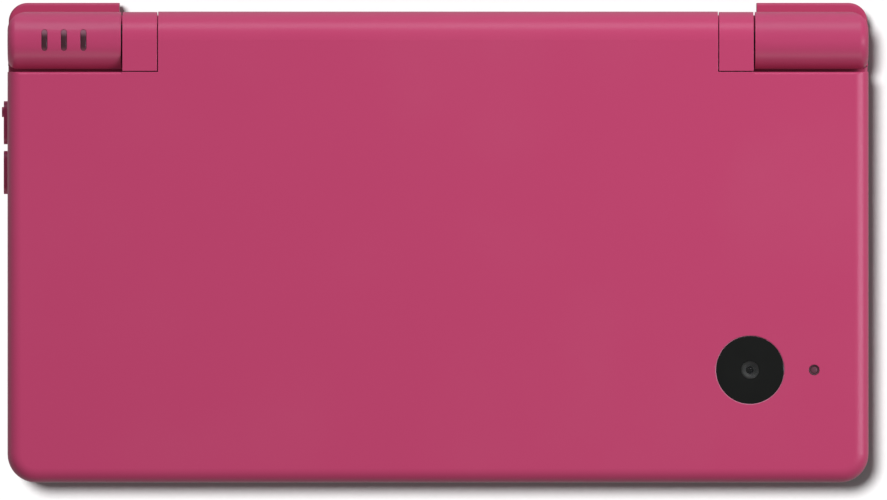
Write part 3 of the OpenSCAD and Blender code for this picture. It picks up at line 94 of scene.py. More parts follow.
def mesh_from_faces(name, points, quads):
    """Points and four-sided faces as a new mesh, welded, facing outwards, with crisp edges."""
    mesh = bpy.data.meshes.new(name)
    mesh.vertices.add(len(points))
    mesh.vertices.foreach_set("co", np.ascontiguousarray(points, np.float32).ravel())
    mesh.loops.add(quads.size)
    mesh.loops.foreach_set("vertex_index", np.ascontiguousarray(quads, np.int32).ravel())
    mesh.polygons.add(len(quads))
    mesh.polygons.foreach_set("loop_start", np.arange(0, quads.size, 4, dtype=np.int32))
    mesh.update(calc_edges=True)
    shape = bmesh.new()
    shape.from_mesh(mesh)
    bmesh.ops.remove_doubles(shape, verts=shape.verts, dist=weld_reach)
    bmesh.ops.recalc_face_normals(shape, faces=shape.faces)
    shape.to_mesh(mesh)
    shape.free()
    mesh.shade_smooth()
    mesh.set_sharp_from_angle(angle=crisp_angle)
    return mesh


def ring_faces(count, around, loop=False):
    """Faces between closed rings: points j and j + 1 of rings i and i + 1 span one face.
    With loop, the last ring joins the first one again."""
    i = np.arange(count if loop else count - 1)[:, None]
    j = np.arange(around)[None, :]
    below, above = i * around, ((i + 1) % count) * around
    ahead = (j + 1) % around
    return np.stack([below + j, below + ahead, above + ahead, above + j], -1).reshape(-1, 4)


def mesh_from_rings(name, rings, loop=False):
    """A mesh whose point rings[i, j] is point j of closed ring i."""
    return mesh_from_faces(name, rings.reshape(-1, 3), ring_faces(*rings.shape[:2], loop))


def repeated(name, rings, steps, axis=0):
    """One ring grid repeated along an axis, as one mesh: point = grid point + step."""
    moves = np.zeros((len(steps), 1, 3))
    moves[:, 0, axis] = steps
    points = rings.reshape(-1, 3)[None] + moves
    first = np.arange(len(steps))[:, None, None] * points.shape[1]
    quads = ring_faces(*rings.shape[:2]) + first
    return mesh_from_faces(name, points.reshape(-1, 3), quads.reshape(-1, 4))


def add_piece(mesh, body, finish, slot, *stands_for):
    """Puts a mesh in the scene as a piece that rides on a CAD body and wears a finish."""
    piece = bpy.data.objects.new(mesh.name, mesh)
    bpy.context.scene.collection.objects.link(piece)
    mesh.materials.append(finish)
    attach(piece, body)
    if stands_for:
        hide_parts(*stands_for)
    print("made", mesh.name, "with", len(mesh.polygons), "faces")
    return piece


# %% Turned pieces, plates, frames and strips


def turned_piece(name, section, centre, body, finish, slot, *stands_for, around=96, axis=2):
    """A turned piece: section row k is (radius, height), and angle a runs once round the axis:
    point = centre + radius * (cos a, sin a) across the axis + height along it.
    A section that starts off the axis closes on itself, as the section of a ring does."""
    section = np.asarray(section, float)
    angle = np.linspace(0, 2 * np.pi, around, endpoint=False)
    across = section[:, 0, None]
    rings = np.zeros((len(section), around, 3))
    rings[..., (axis + 1) % 3] = across * np.cos(angle)
    rings[..., (axis + 2) % 3] = across * np.sin(angle)
    rings[..., axis] = section[:, 1, None]
    rings += np.asarray(centre, float)
    mesh = mesh_from_rings(name, rings, loop=section[0, 0] > 0)
    return add_piece(mesh, body, finish, slot, *stands_for)


def rounded_outline(width, depth, corner, steps=12):
    """A rounded rectangle: quarter circles of the corner radius about the inner corners."""
    quarter = np.linspace(0, np.pi / 2, steps)
    turn = np.concatenate([quarter + k * np.pi / 2 for k in range(4)])
    sign_x = np.repeat([1, -1, -1, 1], steps)
    sign_y = np.repeat([1, 1, -1, -1], steps)
    x = sign_x * (width / 2 - corner) + corner * np.cos(turn)
    y = sign_y * (depth / 2 - corner) + corner * np.sin(turn)
    return np.stack([x, y], -1)


def at_height(line, z):
    """A flat outline as a ring of points at the height z."""
    return np.column_stack([line, np.full(len(line), z)])


def plate(centre, width, depth, corner, low, high, edge):
    """A closed plate. At the top the outline is drawn in by edge * (1 - cos t) while the height
    rises by edge * sin t, and the foot is its mirror image. Both faces shrink to their middle
    point, behind a narrow flat ring that keeps the rounding's shading off them."""
    t = np.linspace(0, np.pi / 2, 5)
    flat = edge + 0.05 * mm
    inset = np.concatenate([[flat], edge * (1 - np.sin(t)), edge * (1 - np.cos(t)), [flat]])
    foot, top = low + edge * (1 - np.cos(t)), high - edge * (1 - np.sin(t))
    rings = []
    for step, z in zip(inset, np.concatenate([[low], foot, top, [high]])):
        line = rounded_outline(width - 2 * step, depth - 2 * step, max(corner - step, 1e-5))
        rings.append(at_height(line, z))
    rings = [at_height(0 * line, low), *rings, at_height(0 * line, high)]
    return np.stack(rings) + np.array([centre[0], centre[1], 0])


def picture_frame(centre, outer, inner, corner_out, corner_in, low, high):
    """A flat frame: its outer foot, outer top, inner top and inner foot, joined in a loop."""
    outside, inside = rounded_outline(*outer, corner_out), rounded_outline(*inner, corner_in)
    rows = [(outside, low), (outside, high), (inside, high), (inside, low)]
    return np.stack([at_height(*row) for row in rows]) + np.array([centre[0], centre[1], 0])


def strip(path, width, thick, across):
    """A bent strip: point = path + u * width / 2 * across + v * thick / 2 * normal, with u and v
    at -1 or 1, and the normal square to the path and to across. Both ends are closed."""
    path, across = np.asarray(path, float), np.asarray(across, float)
    along = np.gradient(path, axis=0)
    normal = np.cross(along, across)
    normal /= np.linalg.norm(normal, axis=1)[:, None]
    corners = [(-1, -1), (1, -1), (1, 1), (-1, 1)]
    sides = [path + u * width / 2 * across + v * thick / 2 * normal for u, v in corners]
    ends = [np.repeat(path[k][None, None], 4, 1) for k in (0, -1)]
    return np.concatenate([ends[0], np.stack(sides, 1), ends[1]])


# %% [markdown]
# ## Node groups: effects that several finishes share
# Moulded plastic is never one flat colour: the melt leaves soft clouds, and the mould's eroded
# skin leaves a fine grain. Handling polishes the edges, and a little dust settles on what faces
# up. Each of these could be painted into an image, but a pattern worked out in space stays sharp
# at any distance. Each effect is one group with its own values, and only colours, masks, values
# and normals leave it.

# %% Helpers that lay out nodes


def feed(tree, node, **sockets):
    """Fills a node's inputs by name, or by number as i0, i1: a socket is linked, a value set."""
    for key, value in sockets.items():
        numbered = key[0] == "i" and key[1:].isdigit()
        target = node.inputs[int(key[1:]) if numbered else key.replace("_", " ")]
        if isinstance(value, bpy.types.NodeSocket):
            tree.links.new(value, target)
        else:
            target.default_value = value
    return node


def add(tree, kind, settings=None, **sockets):
    """A node with its settings, and with its inputs filled."""
    made = tree.nodes.new("ShaderNode" + kind)
    for key, value in (settings or {}).items():
        setattr(made, key, value)
    return feed(tree, made, **sockets)


def new_group(name, inputs, outputs):
    """An empty group: inputs are (kind, name, value), outputs (kind, name). It comes with the
    sockets that lead in and the node that takes the results."""
    tree = bpy.data.node_groups.new(name, "ShaderNodeTree")
    for kind, label, value in inputs:
        made = tree.interface.new_socket(label, in_out="INPUT", socket_type="NodeSocket" + kind)
        made.default_value = value
    for kind, label in outputs:
        tree.interface.new_socket(label, in_out="OUTPUT", socket_type="NodeSocket" + kind)
    print("group:", name)
    return tree, tree.nodes.new("NodeGroupInput").outputs, tree.nodes.new("NodeGroupOutput")


def calc(tree, operation, a, b=0.0, c=0.0, clamp=False):
    """One sum of up to three values or sockets."""
    settings = {"operation": operation, "use_clamp": clamp}
    return add(tree, "Math", settings, i0=a, i1=b, i2=c).outputs[0]


def times_plus(tree, a, b, c, clamp=False):
    """The sum a * b + c."""
    return calc(tree, "MULTIPLY_ADD", a, b, c, clamp)


def blend_colour(tree, amount, first, second):
    """A mix of two colours by an amount."""
    return add(tree, "Mix", {"data_type": "RGBA"}, i0=amount, i6=first, i7=second).outputs[2]


def here(tree):
    """The point on the piece in its own frame, in metres."""
    return add(tree, "TexCoord").outputs["Object"]


def noise(tree, scale, detail=2.0, where=None, **more):
    """Soft random clouds, about scale of them in a metre."""
    point = here(tree) if where is None else where
    return add(tree, "TexNoise", Vector=point, Scale=scale, Detail=detail, **more).outputs["Fac"]


def cells(tree, scale, distance="EUCLIDEAN", randomness=1.0):
    """The distance to the nearest of many scattered points, about scale of them in a metre."""
    made = add(tree, "TexVoronoi", {"distance": distance}, Vector=here(tree), Scale=scale,
               Randomness=randomness)
    return made.outputs["Distance"]


def ramp(tree, value, low, high):
    """0 below low, 1 above high, and a smooth step between."""
    made = add(tree, "MapRange", {"interpolation_type": "SMOOTHSTEP"},
               Value=value, From_Min=low, From_Max=high)
    return made.outputs["Result"]


# %% Group: the skin of moulded plastic
tree, given, result = new_group(
    "moulded_skin",
    [("Color", "Color", (0.5, 0.5, 0.5, 1)), ("Float", "Mottle", 0.08), ("Float", "Grain", 9000.0),
     ("Float", "Roughness", 0.4), ("Float", "Spread", 0.1)],
    [("Color", "Color"), ("Float", "Roughness"), ("Float", "Height")])
swing = calc(tree, "SUBTRACT", noise(tree, 60.0, 3.0), 0.5)
grain = noise(tree, given["Grain"])
value = times_plus(tree, swing, given["Mottle"], 1.0)
tinted = add(tree, "HueSaturation", Color=given["Color"], Value=value).outputs[0]
fine = calc(tree, "SUBTRACT", grain, 0.5)
rough = times_plus(tree, fine, given["Spread"], given["Roughness"])
rough = times_plus(tree, swing, given["Spread"], rough, clamp=True)
height = times_plus(tree, cells(tree, given["Grain"]), 0.6, grain)
feed(tree, result, Color=tinted, Roughness=rough, Height=height)
moulded_skin = tree

# %% Group: edges that hands have rubbed
tree, given, result = new_group(
    "rubbed_edges", [("Float", "Width", 0.0002), ("Float", "Strength", 0.5)],
    [("Vector", "Normal"), ("Float", "Mask")])
eased = add(tree, "Bevel", {"samples": 4}, Radius=given["Width"]).outputs[0]
facing = add(tree, "NewGeometry").outputs["Normal"]
agree = add(tree, "VectorMath", {"operation": "DOT_PRODUCT"}, i0=eased, i1=facing)
apart = calc(tree, "SUBTRACT", 1.0, agree.outputs["Value"])
patches = ramp(tree, noise(tree, 400.0, 3.0), 0.3, 0.7)
mask = calc(tree, "MULTIPLY", ramp(tree, apart, 0.02, 0.3), patches)
mask = calc(tree, "MULTIPLY", mask, given["Strength"], clamp=True)
feed(tree, result, Normal=eased, Mask=mask)
rubbed_edges = tree

# %% Group: settled dust
tree, given, result = new_group(
    "settled_dust",
    [("Color", "Color", (0.5, 0.5, 0.5, 1)), ("Float", "Roughness", 0.4), ("Float", "Amount", 0.1)],
    [("Color", "Color"), ("Float", "Roughness")])
specks = calc(tree, "SUBTRACT", 1.0, ramp(tree, cells(tree, 1400.0), 0.03, 0.09))
veil = calc(tree, "MULTIPLY", ramp(tree, noise(tree, 35.0, 4.0), 0.45, 0.8), 0.35)
own_normal = add(tree, "TexCoord").outputs["Normal"]
upward = ramp(tree, add(tree, "SeparateXYZ", Vector=own_normal).outputs["Z"], 0.2, 0.9)
cover = calc(tree, "MULTIPLY", times_plus(tree, specks, 0.8, veil), upward)
cover = calc(tree, "MULTIPLY", cover, given["Amount"], clamp=True)
dusty = blend_colour(tree, cover, given["Color"], (0.55, 0.52, 0.5, 1))
matt = times_plus(tree, cover, 0.5, given["Roughness"], clamp=True)
feed(tree, result, Color=dusty, Roughness=matt)
settled_dust = tree

# %% Group: hairline marks left by wiping
tree, given, result = new_group(
    "wiping_marks", [("Float", "Roughness", 0.1), ("Float", "Amount", 0.1)],
    [("Float", "Roughness"), ("Float", "Height")])
lines = []
for turn, stretch in ((0.5, 60.0), (2.1, 45.0)):
    squeezed = add(tree, "Mapping", Vector=here(tree), Rotation=(0, 0, turn),
                   Scale=(stretch, 3000.0, 3000.0)).outputs[0]
    lines.append(ramp(tree, noise(tree, 1.0, where=squeezed), 0.66, 0.74))
marks = calc(tree, "MAXIMUM", *lines)
prints = ramp(tree, noise(tree, 120.0, Distortion=1.5), 0.5, 0.75)
smear = times_plus(tree, prints, 0.4, calc(tree, "MULTIPLY", marks, 0.6))
rough = times_plus(tree, smear, given["Amount"], given["Roughness"], clamp=True)
feed(tree, result, Roughness=rough, Height=calc(tree, "MULTIPLY", marks, -1.0))
wiping_marks = tree

# %% Group: drawn and rolled metal
tree, given, result = new_group(
    "drawn_metal",
    [("Color", "Color", (0.6, 0.6, 0.62, 1)), ("Float", "Roughness", 0.28),
     ("Vector", "Stretch", (200, 9000, 9000))],
    [("Color", "Color"), ("Float", "Roughness"), ("Float", "Height")])
drawn = add(tree, "VectorMath", {"operation": "MULTIPLY"}, i0=here(tree), i1=given["Stretch"])
hairs = noise(tree, 1.0, 3.0, where=drawn.outputs[0])
stain = calc(tree, "SUBTRACT", noise(tree, 500.0, 3.0), 0.5)
shade = times_plus(tree, stain, 0.35, 1.0)
tone = add(tree, "HueSaturation", Color=given["Color"], Value=shade).outputs[0]
fine = calc(tree, "SUBTRACT", hairs, 0.5)
rough = times_plus(tree, fine, 0.25, given["Roughness"], clamp=True)
feed(tree, result, Color=tone, Roughness=rough, Height=hairs)
drawn_metal = tree

# %% Group: threads, lines and picture cells in rows
tree, given, result = new_group(
    "row_pattern", [("Float", "Pitch X", 0.00025), ("Float", "Pitch Y", 0.00025)],
    [("Float", "Across"), ("Float", "Along"), ("Float", "Crossed")])
axes = add(tree, "SeparateXYZ", Vector=here(tree)).outputs
waves = []
for label in "XY":
    turns = calc(tree, "DIVIDE", axes[label], given["Pitch " + label])
    wave = calc(tree, "SINE", calc(tree, "MULTIPLY", turns, 2 * math.pi))
    waves.append(times_plus(tree, wave, 0.5, 0.5))
feed(tree, result, Across=waves[0], Along=waves[1], Crossed=calc(tree, "MULTIPLY", *waves))
row_pattern = tree

# %% [markdown]
# ## Finishes
# The case is satin magenta plastic, dyed in the melt. The lid shows it best: even, with a soft
# sheen and no flakes. One Principled shader could carry it with plain values, but the eye reads
# plastic from its grain and rubbed edges. So each finish is a short material that places the
# groups with its own values and keeps its shader in plain sight.

# %% Helpers: an empty finish, a placed group, relief and plastic


def new_finish(name, **values):
    """A material with one Principled shader; values are its inputs that are the same all over."""
    finish = bpy.data.materials.new(name)
    finish.use_nodes = True
    tree = finish.node_tree
    tree.nodes.clear()
    shader = add(tree, "BsdfPrincipled", **values)
    add(tree, "OutputMaterial", Surface=shader.outputs[0])
    return finish, tree, shader


def place(tree, group, **sockets):
    """The outputs of a group that is placed in a material, with its inputs filled."""
    return add(tree, "Group", {"node_tree": group}, **sockets).outputs


def wear_bump(tree, shader, height, depth, **eased):
    """A height pattern as relief of the given depth in metres, over an eased Normal if given."""
    bump = add(tree, "Bump", Height=height, Distance=depth, Strength=1.0, **eased)
    feed(tree, shader, Normal=bump.outputs[0])


def plastic(name, colour, rubbed, gloss=0.4, grain=9000.0, relief=2e-6, mottle=0.025, dust=0.04,
            **values):
    """Moulded plastic: clouds, grain, rubbed edges and dust over one dyed colour."""
    finish, tree, shader = new_finish(name, **values)
    skin = place(tree, moulded_skin, Color=(*colour, 1), Mottle=mottle, Grain=grain,
                 Roughness=gloss, Spread=0.08)
    worn = place(tree, rubbed_edges, Width=0.00018, Strength=0.5)
    colour_now = blend_colour(tree, worn["Mask"], skin["Color"], (*rubbed, 1))
    rough = times_plus(tree, worn["Mask"], -0.15, skin["Roughness"], clamp=True)
    layer = place(tree, settled_dust, Color=colour_now, Roughness=rough, Amount=dust)
    feed(tree, shader, Base_Color=layer["Color"], Roughness=layer["Roughness"])
    wear_bump(tree, shader, skin["Height"], relief, Normal=worn["Normal"])
    return finish


# %% Plastics
magenta = (0.478, 0.050, 0.138)
magenta_rubbed = (0.56, 0.12, 0.22)
lid_plastic = plastic("lid_plastic", magenta, magenta_rubbed, gloss=0.34, mottle=0.015)
case_plastic = plastic("case_plastic", tuple(0.83 * v for v in magenta), magenta_rubbed, gloss=0.38)
key_plastic = plastic("key_plastic", (0.40, 0.040, 0.107), magenta_rubbed, gloss=0.3, relief=1e-6)
black_plastic = plastic("black_plastic", (0.018, 0.018, 0.02), (0.06, 0.06, 0.062), gloss=0.45,
                        mottle=0.3)
pale_plastic = plastic("pale_plastic", (0.5, 0.49, 0.47), (0.6, 0.6, 0.58), gloss=0.4)
print("plastics:", [m.name for m in bpy.data.materials])

# %% [markdown]
# ### Rubbers and silicone
# Feet and bumpers are soft moulded rubber: matt, slightly rough and unevenly dark. The membranes
# under the buttons are milky silicone that lets a little light through. A recipe of their own
# would repeat most of the plastic's, so they use that one: the rubbers with a coarser grain, the
# silicone with light that scatters under its skin.

# %% Rubbers
foot_rubber = plastic("foot_rubber", (0.035, 0.033, 0.034), (0.07, 0.07, 0.07), gloss=0.75,
                      grain=4000.0, relief=8e-6, mottle=0.4, dust=0.2)
bumper_rubber = plastic("bumper_rubber", (0.3, 0.03, 0.085), (0.36, 0.06, 0.12), gloss=0.7,
                        grain=4000.0, relief=6e-6, mottle=0.2)
membrane_rubber = plastic("membrane_rubber", (0.5, 0.48, 0.43), (0.55, 0.54, 0.5), gloss=0.5,
                          mottle=0.15, Subsurface_Weight=0.3,
                          Subsurface_Radius=(0.0012, 0.001, 0.0008))
print("rubbers: feet, bumpers, membranes")

# %% [markdown]
# ### Metals
# Screws, pins and the hinge's click unit are drawn or rolled steel, plated against rust; contacts
# are gilded bronze. Metal has no colour of its own under the shine, so Metallic is 1 and the base
# colour tints the reflection. Drawing leaves hairlines along one way, which a stretched noise
# gives.

# %% Metals


def metal(name, colour, gloss, stretch):
    """Drawn metal; its hairlines run along the axis with the smallest stretch."""
    finish, tree, shader = new_finish(name, Metallic=1.0)
    skin = place(tree, drawn_metal, Color=(*colour, 1), Roughness=gloss, Stretch=stretch)
    worn = place(tree, rubbed_edges, Width=0.0001, Strength=0.4)
    brighter = blend_colour(tree, worn["Mask"], skin["Color"], (0.85, 0.85, 0.86, 1))
    feed(tree, shader, Base_Color=brighter, Roughness=skin["Roughness"])
    wear_bump(tree, shader, skin["Height"], 1e-6, Normal=worn["Normal"])
    return finish


screw_steel = metal("screw_steel", (0.42, 0.42, 0.44), 0.3, (3000, 3000, 400))
# Partly dark plated steel, partly painted shade: the hinge sleeve shows through the seams, and its
# near black keeps them dark.
dark_steel_seam_shade = metal("dark_steel_seam_shade", (0.05, 0.05, 0.052), 0.4, (200, 9000, 9000))
rod_steel = metal("rod_steel", (0.6, 0.6, 0.62), 0.25, (200, 9000, 9000))
tin_shell = metal("tin_shell", (0.66, 0.66, 0.67), 0.33, (9000, 300, 9000))
gilt = metal("gilt", (0.83, 0.58, 0.22), 0.22, (9000, 400, 9000))
microphone_can = metal("microphone_can", (0.7, 0.68, 0.62), 0.3, (2000, 2000, 2000))
print("metals: steel, dark steel, tin, gilt")

# %% [markdown]
# ### The circuit board
# A board is glass cloth under green lacquer, with copper lines that show as lighter green and
# bare pads that shine. The lines could be modelled, but they stand only 0.03 mm high, so colour
# and relief are enough. A cell pattern measured along straight streets gives lines that run
# square to each other.

# %% Board
circuit_board, tree, shader = new_finish("circuit_board")
streets = ramp(tree, cells(tree, 700.0, "MANHATTAN", 0.9), 0.3, 0.34)
rows = place(tree, row_pattern, Pitch_X=0.0006, Pitch_Y=0.0006)
track = calc(tree, "MULTIPLY", ramp(tree, rows["Across"], 0.6, 0.7), streets)
pad = calc(tree, "SUBTRACT", 1.0, ramp(tree, cells(tree, 420.0, "CHEBYCHEV", 0.2), 0.16, 0.18))
cloth = noise(tree, 900.0)
shade = times_plus(tree, cloth, 0.6, 0.7)
lacquer = add(tree, "HueSaturation", Color=(0.012, 0.11, 0.045, 1), Value=shade).outputs[0]
lacquer = blend_colour(tree, track, lacquer, (0.03, 0.22, 0.08, 1))
surface = blend_colour(tree, pad, lacquer, (0.72, 0.66, 0.5, 1))
feed(tree, shader, Base_Color=surface, Metallic=pad, Roughness=times_plus(tree, cloth, 0.2, 0.25))
wear_bump(tree, shader, calc(tree, "ADD", track, pad), 2e-5)
print("board: lacquer, tracks and pads")

# %% [markdown]
# ### Battery wrap and ribbon
# The battery wears a shrunk sleeve with slight waves. It carries no label here, so it stays plain.
# The ribbon to the upper screen is amber film over parallel copper lines. Modelled waves and
# lines would be far too fine for their size, so a relief of soft clouds bends the light on the
# sleeve, and rows of a fixed pitch draw the lines on the film.

# %% Wrap and ribbon


def smooth_skin(tree, shader, colour, mottle, grain, gloss, spread):
    """Colour and roughness from the moulded skin, without wear; gives back the skin's height."""
    skin = place(tree, moulded_skin, Color=colour, Mottle=mottle, Grain=grain, Roughness=gloss,
                 Spread=spread)
    feed(tree, shader, Base_Color=skin["Color"], Roughness=skin["Roughness"])
    return skin["Height"]


battery_wrap, tree, shader = new_finish("battery_wrap", Coat_Weight=0.3, Coat_Roughness=0.2)
smooth_skin(tree, shader, (0.14, 0.14, 0.15, 1), 0.25, 5000.0, 0.4, 0.15)
wear_bump(tree, shader, noise(tree, 110.0), 1.5e-4)

ribbon_film, tree, shader = new_finish("ribbon_film")
rows = place(tree, row_pattern, Pitch_X=0.0005, Pitch_Y=0.0005)
copper = ramp(tree, rows["Along"], 0.45, 0.55)
amber = blend_colour(tree, copper, (0.33, 0.12, 0.02, 1), (0.55, 0.27, 0.07, 1))
feed(tree, shader, Base_Color=amber, Roughness=times_plus(tree, copper, -0.1, 0.35))
wear_bump(tree, shader, copper, 2e-5)
print("wrap and ribbon")

# %% [markdown]
# ### Screens and glass
# A screen that is off is almost black, with a faint grid of picture cells that shows only up
# close. Over it lies clear plastic: the upper window has a black printed border, the lower one is
# the touch panel. Clear pieces use Transmission at 1 and keep it plain, so that the export can
# read it. Wiping marks change only the roughness, as on a real screen.

# %% Screens and glass
screen, tree, shader = new_finish("screen", Specular_IOR_Level=0.4)
cell_pitch = 0.00026
rows = place(tree, row_pattern, Pitch_X=cell_pitch, Pitch_Y=cell_pitch)
thirds = place(tree, row_pattern, Pitch_X=cell_pitch / 3, Pitch_Y=cell_pitch)
cell = ramp(tree, rows["Crossed"], 0.15, 0.6)
dark = blend_colour(tree, thirds["Across"], (0.007, 0.008, 0.011, 1), (0.010, 0.011, 0.013, 1))
dark = blend_colour(tree, cell, dark, (0.016, 0.018, 0.022, 1))
feed(tree, shader, Base_Color=dark, Roughness=times_plus(tree, cell, 0.08, 0.28))


def polished(name, tint, deeper, gloss, marks, haze=(90.0, 2.0), **values):
    """Polished plastic or glass with wiping marks; its colour drifts from tint to deeper."""
    finish, tree, shader = new_finish(name, **values)
    rub = place(tree, wiping_marks, Roughness=gloss, Amount=marks)
    colour = blend_colour(tree, noise(tree, *haze), (*tint, 1), (*deeper, 1))
    feed(tree, shader, Base_Color=colour, Roughness=rub["Roughness"])
    wear_bump(tree, shader, rub["Height"], 5e-7)
    return finish


def clear(name, tint, gloss, marks, **values):
    """Clear plastic or glass, a little deeper in places."""
    deeper = tuple(0.93 * v for v in tint)
    return polished(name, tint, deeper, gloss, marks, Transmission_Weight=1.0, **values)


touch_glass = clear("touch_glass", (0.86, 0.88, 0.88), 0.1, 0.12, IOR=1.49)
cover_glass = clear("cover_glass", (0.95, 0.96, 0.96), 0.03, 0.08, IOR=1.49)
lens_glass = clear("lens_glass", (0.10, 0.12, 0.16), 0.02, 0.02, IOR=1.6)
black_window = polished("black_window", (0.006, 0.0065, 0.006), (0.009, 0.0095, 0.009), 0.08, 0.1,
                        haze=(300.0, 3.0), IOR=1.49)
print("screens, touch panel, windows and lenses")

# %% Smoky light lenses
light_lens, tree, shader = new_finish("light_lens", IOR=1.5)
height = smooth_skin(tree, shader, (0.11, 0.055, 0.07, 1), 0.2, 3000.0, 0.22, 0.05)
wear_bump(tree, shader, height, 1e-6)

# %% Lenses of the status lights: a painted highlight towards the hinge and painted light towards the front
axis_y, axis_z = span("hinge_sleeve")[2][1:]
status_lens, tree, shader = new_finish("status_lens", IOR=1.5)
along = add(tree, "SeparateXYZ", Vector=here(tree)).outputs["Y"]
# Painted highlight: the lens is lighter towards the hinge, where the hinge strip's reflection
# crosses it. Painted light: it is lighter again towards the front. The dark middle is the lens's
# own smoky colour.
hinge_highlight_paint = ramp(tree, along, axis_y + 0.4 * mm, axis_y + 1.5 * mm)
behind_front = ramp(tree, along, axis_y - 1.75 * mm, axis_y - 0.9 * mm)
front_light_paint = calc(tree, "SUBTRACT", 1.0, behind_front)
tint = blend_colour(tree, hinge_highlight_paint, (0.055, 0.02, 0.028, 1), (0.24, 0.1, 0.14, 1))
tint = blend_colour(tree, front_light_paint, tint, (0.17, 0.05, 0.075, 1))
height = smooth_skin(tree, shader, tint, 0.1, 3000.0, 0.2, 0.05)
wear_bump(tree, shader, height, 1e-6)
print("smoky lenses, status lights on the barrel at y", round(axis_y / mm, 2), "mm")

# %% Put a finish on every CAD part: the one for its slot, or its own where a part differs
finish_of_slot = {
    "case_plastic": case_plastic, "lid_plastic": lid_plastic, "key_plastic": key_plastic,
    "battery_wrap": battery_wrap, "steel": rod_steel, "circuit_board": circuit_board,
    "black_plastic": black_plastic, "membrane_rubber": membrane_rubber, "foot_rubber": foot_rubber,
    "bumper_rubber": bumper_rubber, "pale_plastic": pale_plastic, "screen": screen,
    "touch_glass": touch_glass, "black_window": black_window, "lens_glass": lens_glass,
    "light_lens": light_lens, "microphone_can": microphone_can, "ribbon_film": ribbon_film,
}
finish_of_node = {
    "case_screws": screw_steel, "lid_screws": screw_steel, "battery_cover_screws": screw_steel,
    "memory_card_socket": tin_shell, "battery_cover": case_plastic, "lid_inner_frame": lid_plastic,
    "volume_up_key": lid_plastic, "volume_down_key": lid_plastic,
    "hinge_sleeve": dark_steel_seam_shade, "hinge_click_shaft": dark_steel_seam_shade, "hinge_click_unit": dark_steel_seam_shade,
}
for name, part in nodes.items():
    wanted = part.material_slots[0].material.name.split(".")[0]
    part.material_slots[0].material = finish_of_node.get(name, finish_of_slot[wanted])
print("dressed", len(nodes), "parts")

# %% [markdown]
# ## The outer camera
# Behind a flush black disc sits a small lens in stepped rings; a thin bevel in the lid frames the
# disc. A flat black circle would look printed on. So the disc is a black ring with a clear window
# in its middle, the rings step down to the lens, and the bevel is a turned ring that catches the
# light at the lower left. Its colour is a painted highlight: lighter and glossier than the lid's.

# %% Bevel, black disc and clear window
low, high, middle = span("outer_camera_window")
spot = (middle[0], middle[1], 0)
radius, face = (high[0] - low[0]) / 2, high[2]
inner, outer = radius - 0.05 * mm, radius + 0.045 * mm
# Painted highlight: the bevel is the lid's plastic, coloured lighter so that its lower left shines
# more.
bevel_highlight_finish = plastic("bevel_plastic_painted_highlight", (0.62, 0.22, 0.33), (0.8, 0.5, 0.6), gloss=0.25, dust=0.0)
section = [(inner, low[2]), (outer, low[2]), (outer, lid_top - 0.01 * mm), (inner, face - 0.1 * mm)]
turned_piece("camera_bevel", section, spot, "lid", bevel_highlight_finish, "lid_plastic")
disc_r, hole, edge = inner - 0.01 * mm, 1.42 * mm, 0.08 * mm
t = np.linspace(0, np.pi / 2, 6)
section = [(hole, face - 0.5 * mm), (disc_r, face - 0.5 * mm)]
section += list(zip(disc_r - edge + edge * np.cos(t), face - edge + edge * np.sin(t)))
section += [(hole, face - 0.002 * mm)]
turned_piece("camera_disc", section, spot, "lid", black_window, "black_window",
             "outer_camera_window")
clear_r, clear_low, clear_high = hole - 0.005 * mm, face - 0.16 * mm, face - 0.004 * mm
section = [(0, clear_low), (clear_r, clear_low), (clear_r, clear_high), (0, clear_high)]
turned_piece("camera_glass", section, spot, "lid", cover_glass, "black_window")

# %% Lens rings as steps, and the lens as a dome
ring_finish = plastic("lens_ring", (0.02, 0.02, 0.02), (0.03, 0.03, 0.03), gloss=0.45, mottle=0.1)
lens_low = span("outer_camera_lens")[0][2]
step_r = np.array([1.38, 1.30, 1.30, 1.08, 1.08, 0.88, 0.88, 0.66, 0.66]) * mm
step_z = face - np.array([0.24, 0.22, 0.26, 0.28, 0.36, 0.38, 0.48, 0.52, 0.75]) * mm
section = list(zip(step_r, step_z)) + [(step_r[-1], lens_low), (step_r[0], lens_low)]
turned_piece("camera_rings", section, spot, "lid", ring_finish, "black_plastic")
dome_r, dome_rise, dome_z = 0.64 * mm, 0.3 * mm, lens_low + 0.05 * mm
t = np.linspace(0, np.pi / 2, 12)
section = [(0, dome_z)]
section += list(zip(dome_r * np.cos(t), dome_z + 0.02 * mm + dome_rise * np.sin(t)))
turned_piece("camera_lens", section, spot, "lid", lens_glass, "lens_glass", "outer_camera_lens",
             around=64)

# %% [markdown]
# ## The recording light
# Beside the camera a small light tells people that it is on. Off, it is a smoky dot with a darker
# rim. It is a light pipe: its top is slightly domed, and the dark rim is the gap round it, seen as
# a ring. Two turned sections carry them, and the middle wears a lighter finish than the rim.

# %% Recording light
low, high, middle = span("recording_light")
spot = (middle[0], middle[1], 0)
pipe_r, rim_r, dome_rise = 0.56 * mm, 0.8 * mm, 0.14 * mm
light_top, light_low = high[2], high[2] - 0.9 * mm
t = np.linspace(0, np.pi / 2, 8)
section = [(0, light_low), (pipe_r, light_low)]
section += list(zip(pipe_r * np.cos(t * 0.98), light_top - dome_rise + dome_rise * np.sin(t)))
light_middle = plastic("light_middle", (0.12, 0.042, 0.062), (0.2, 0.1, 0.12), gloss=0.3)
turned_piece("recording_light_pipe", section + [(0, light_top)], spot, "lid", light_middle,
             "light_lens", "recording_light", around=64)
section = [(pipe_r + 0.02 * mm, light_low), (rim_r, light_low), (rim_r, light_top - 0.03 * mm),
           (rim_r - 0.04 * mm, light_top), (pipe_r + 0.06 * mm, light_top - 0.12 * mm),
           (pipe_r + 0.02 * mm, light_top - 0.2 * mm)]
turned_piece("recording_light_rim", section, spot, "lid", light_lens, "light_lens", around=64)

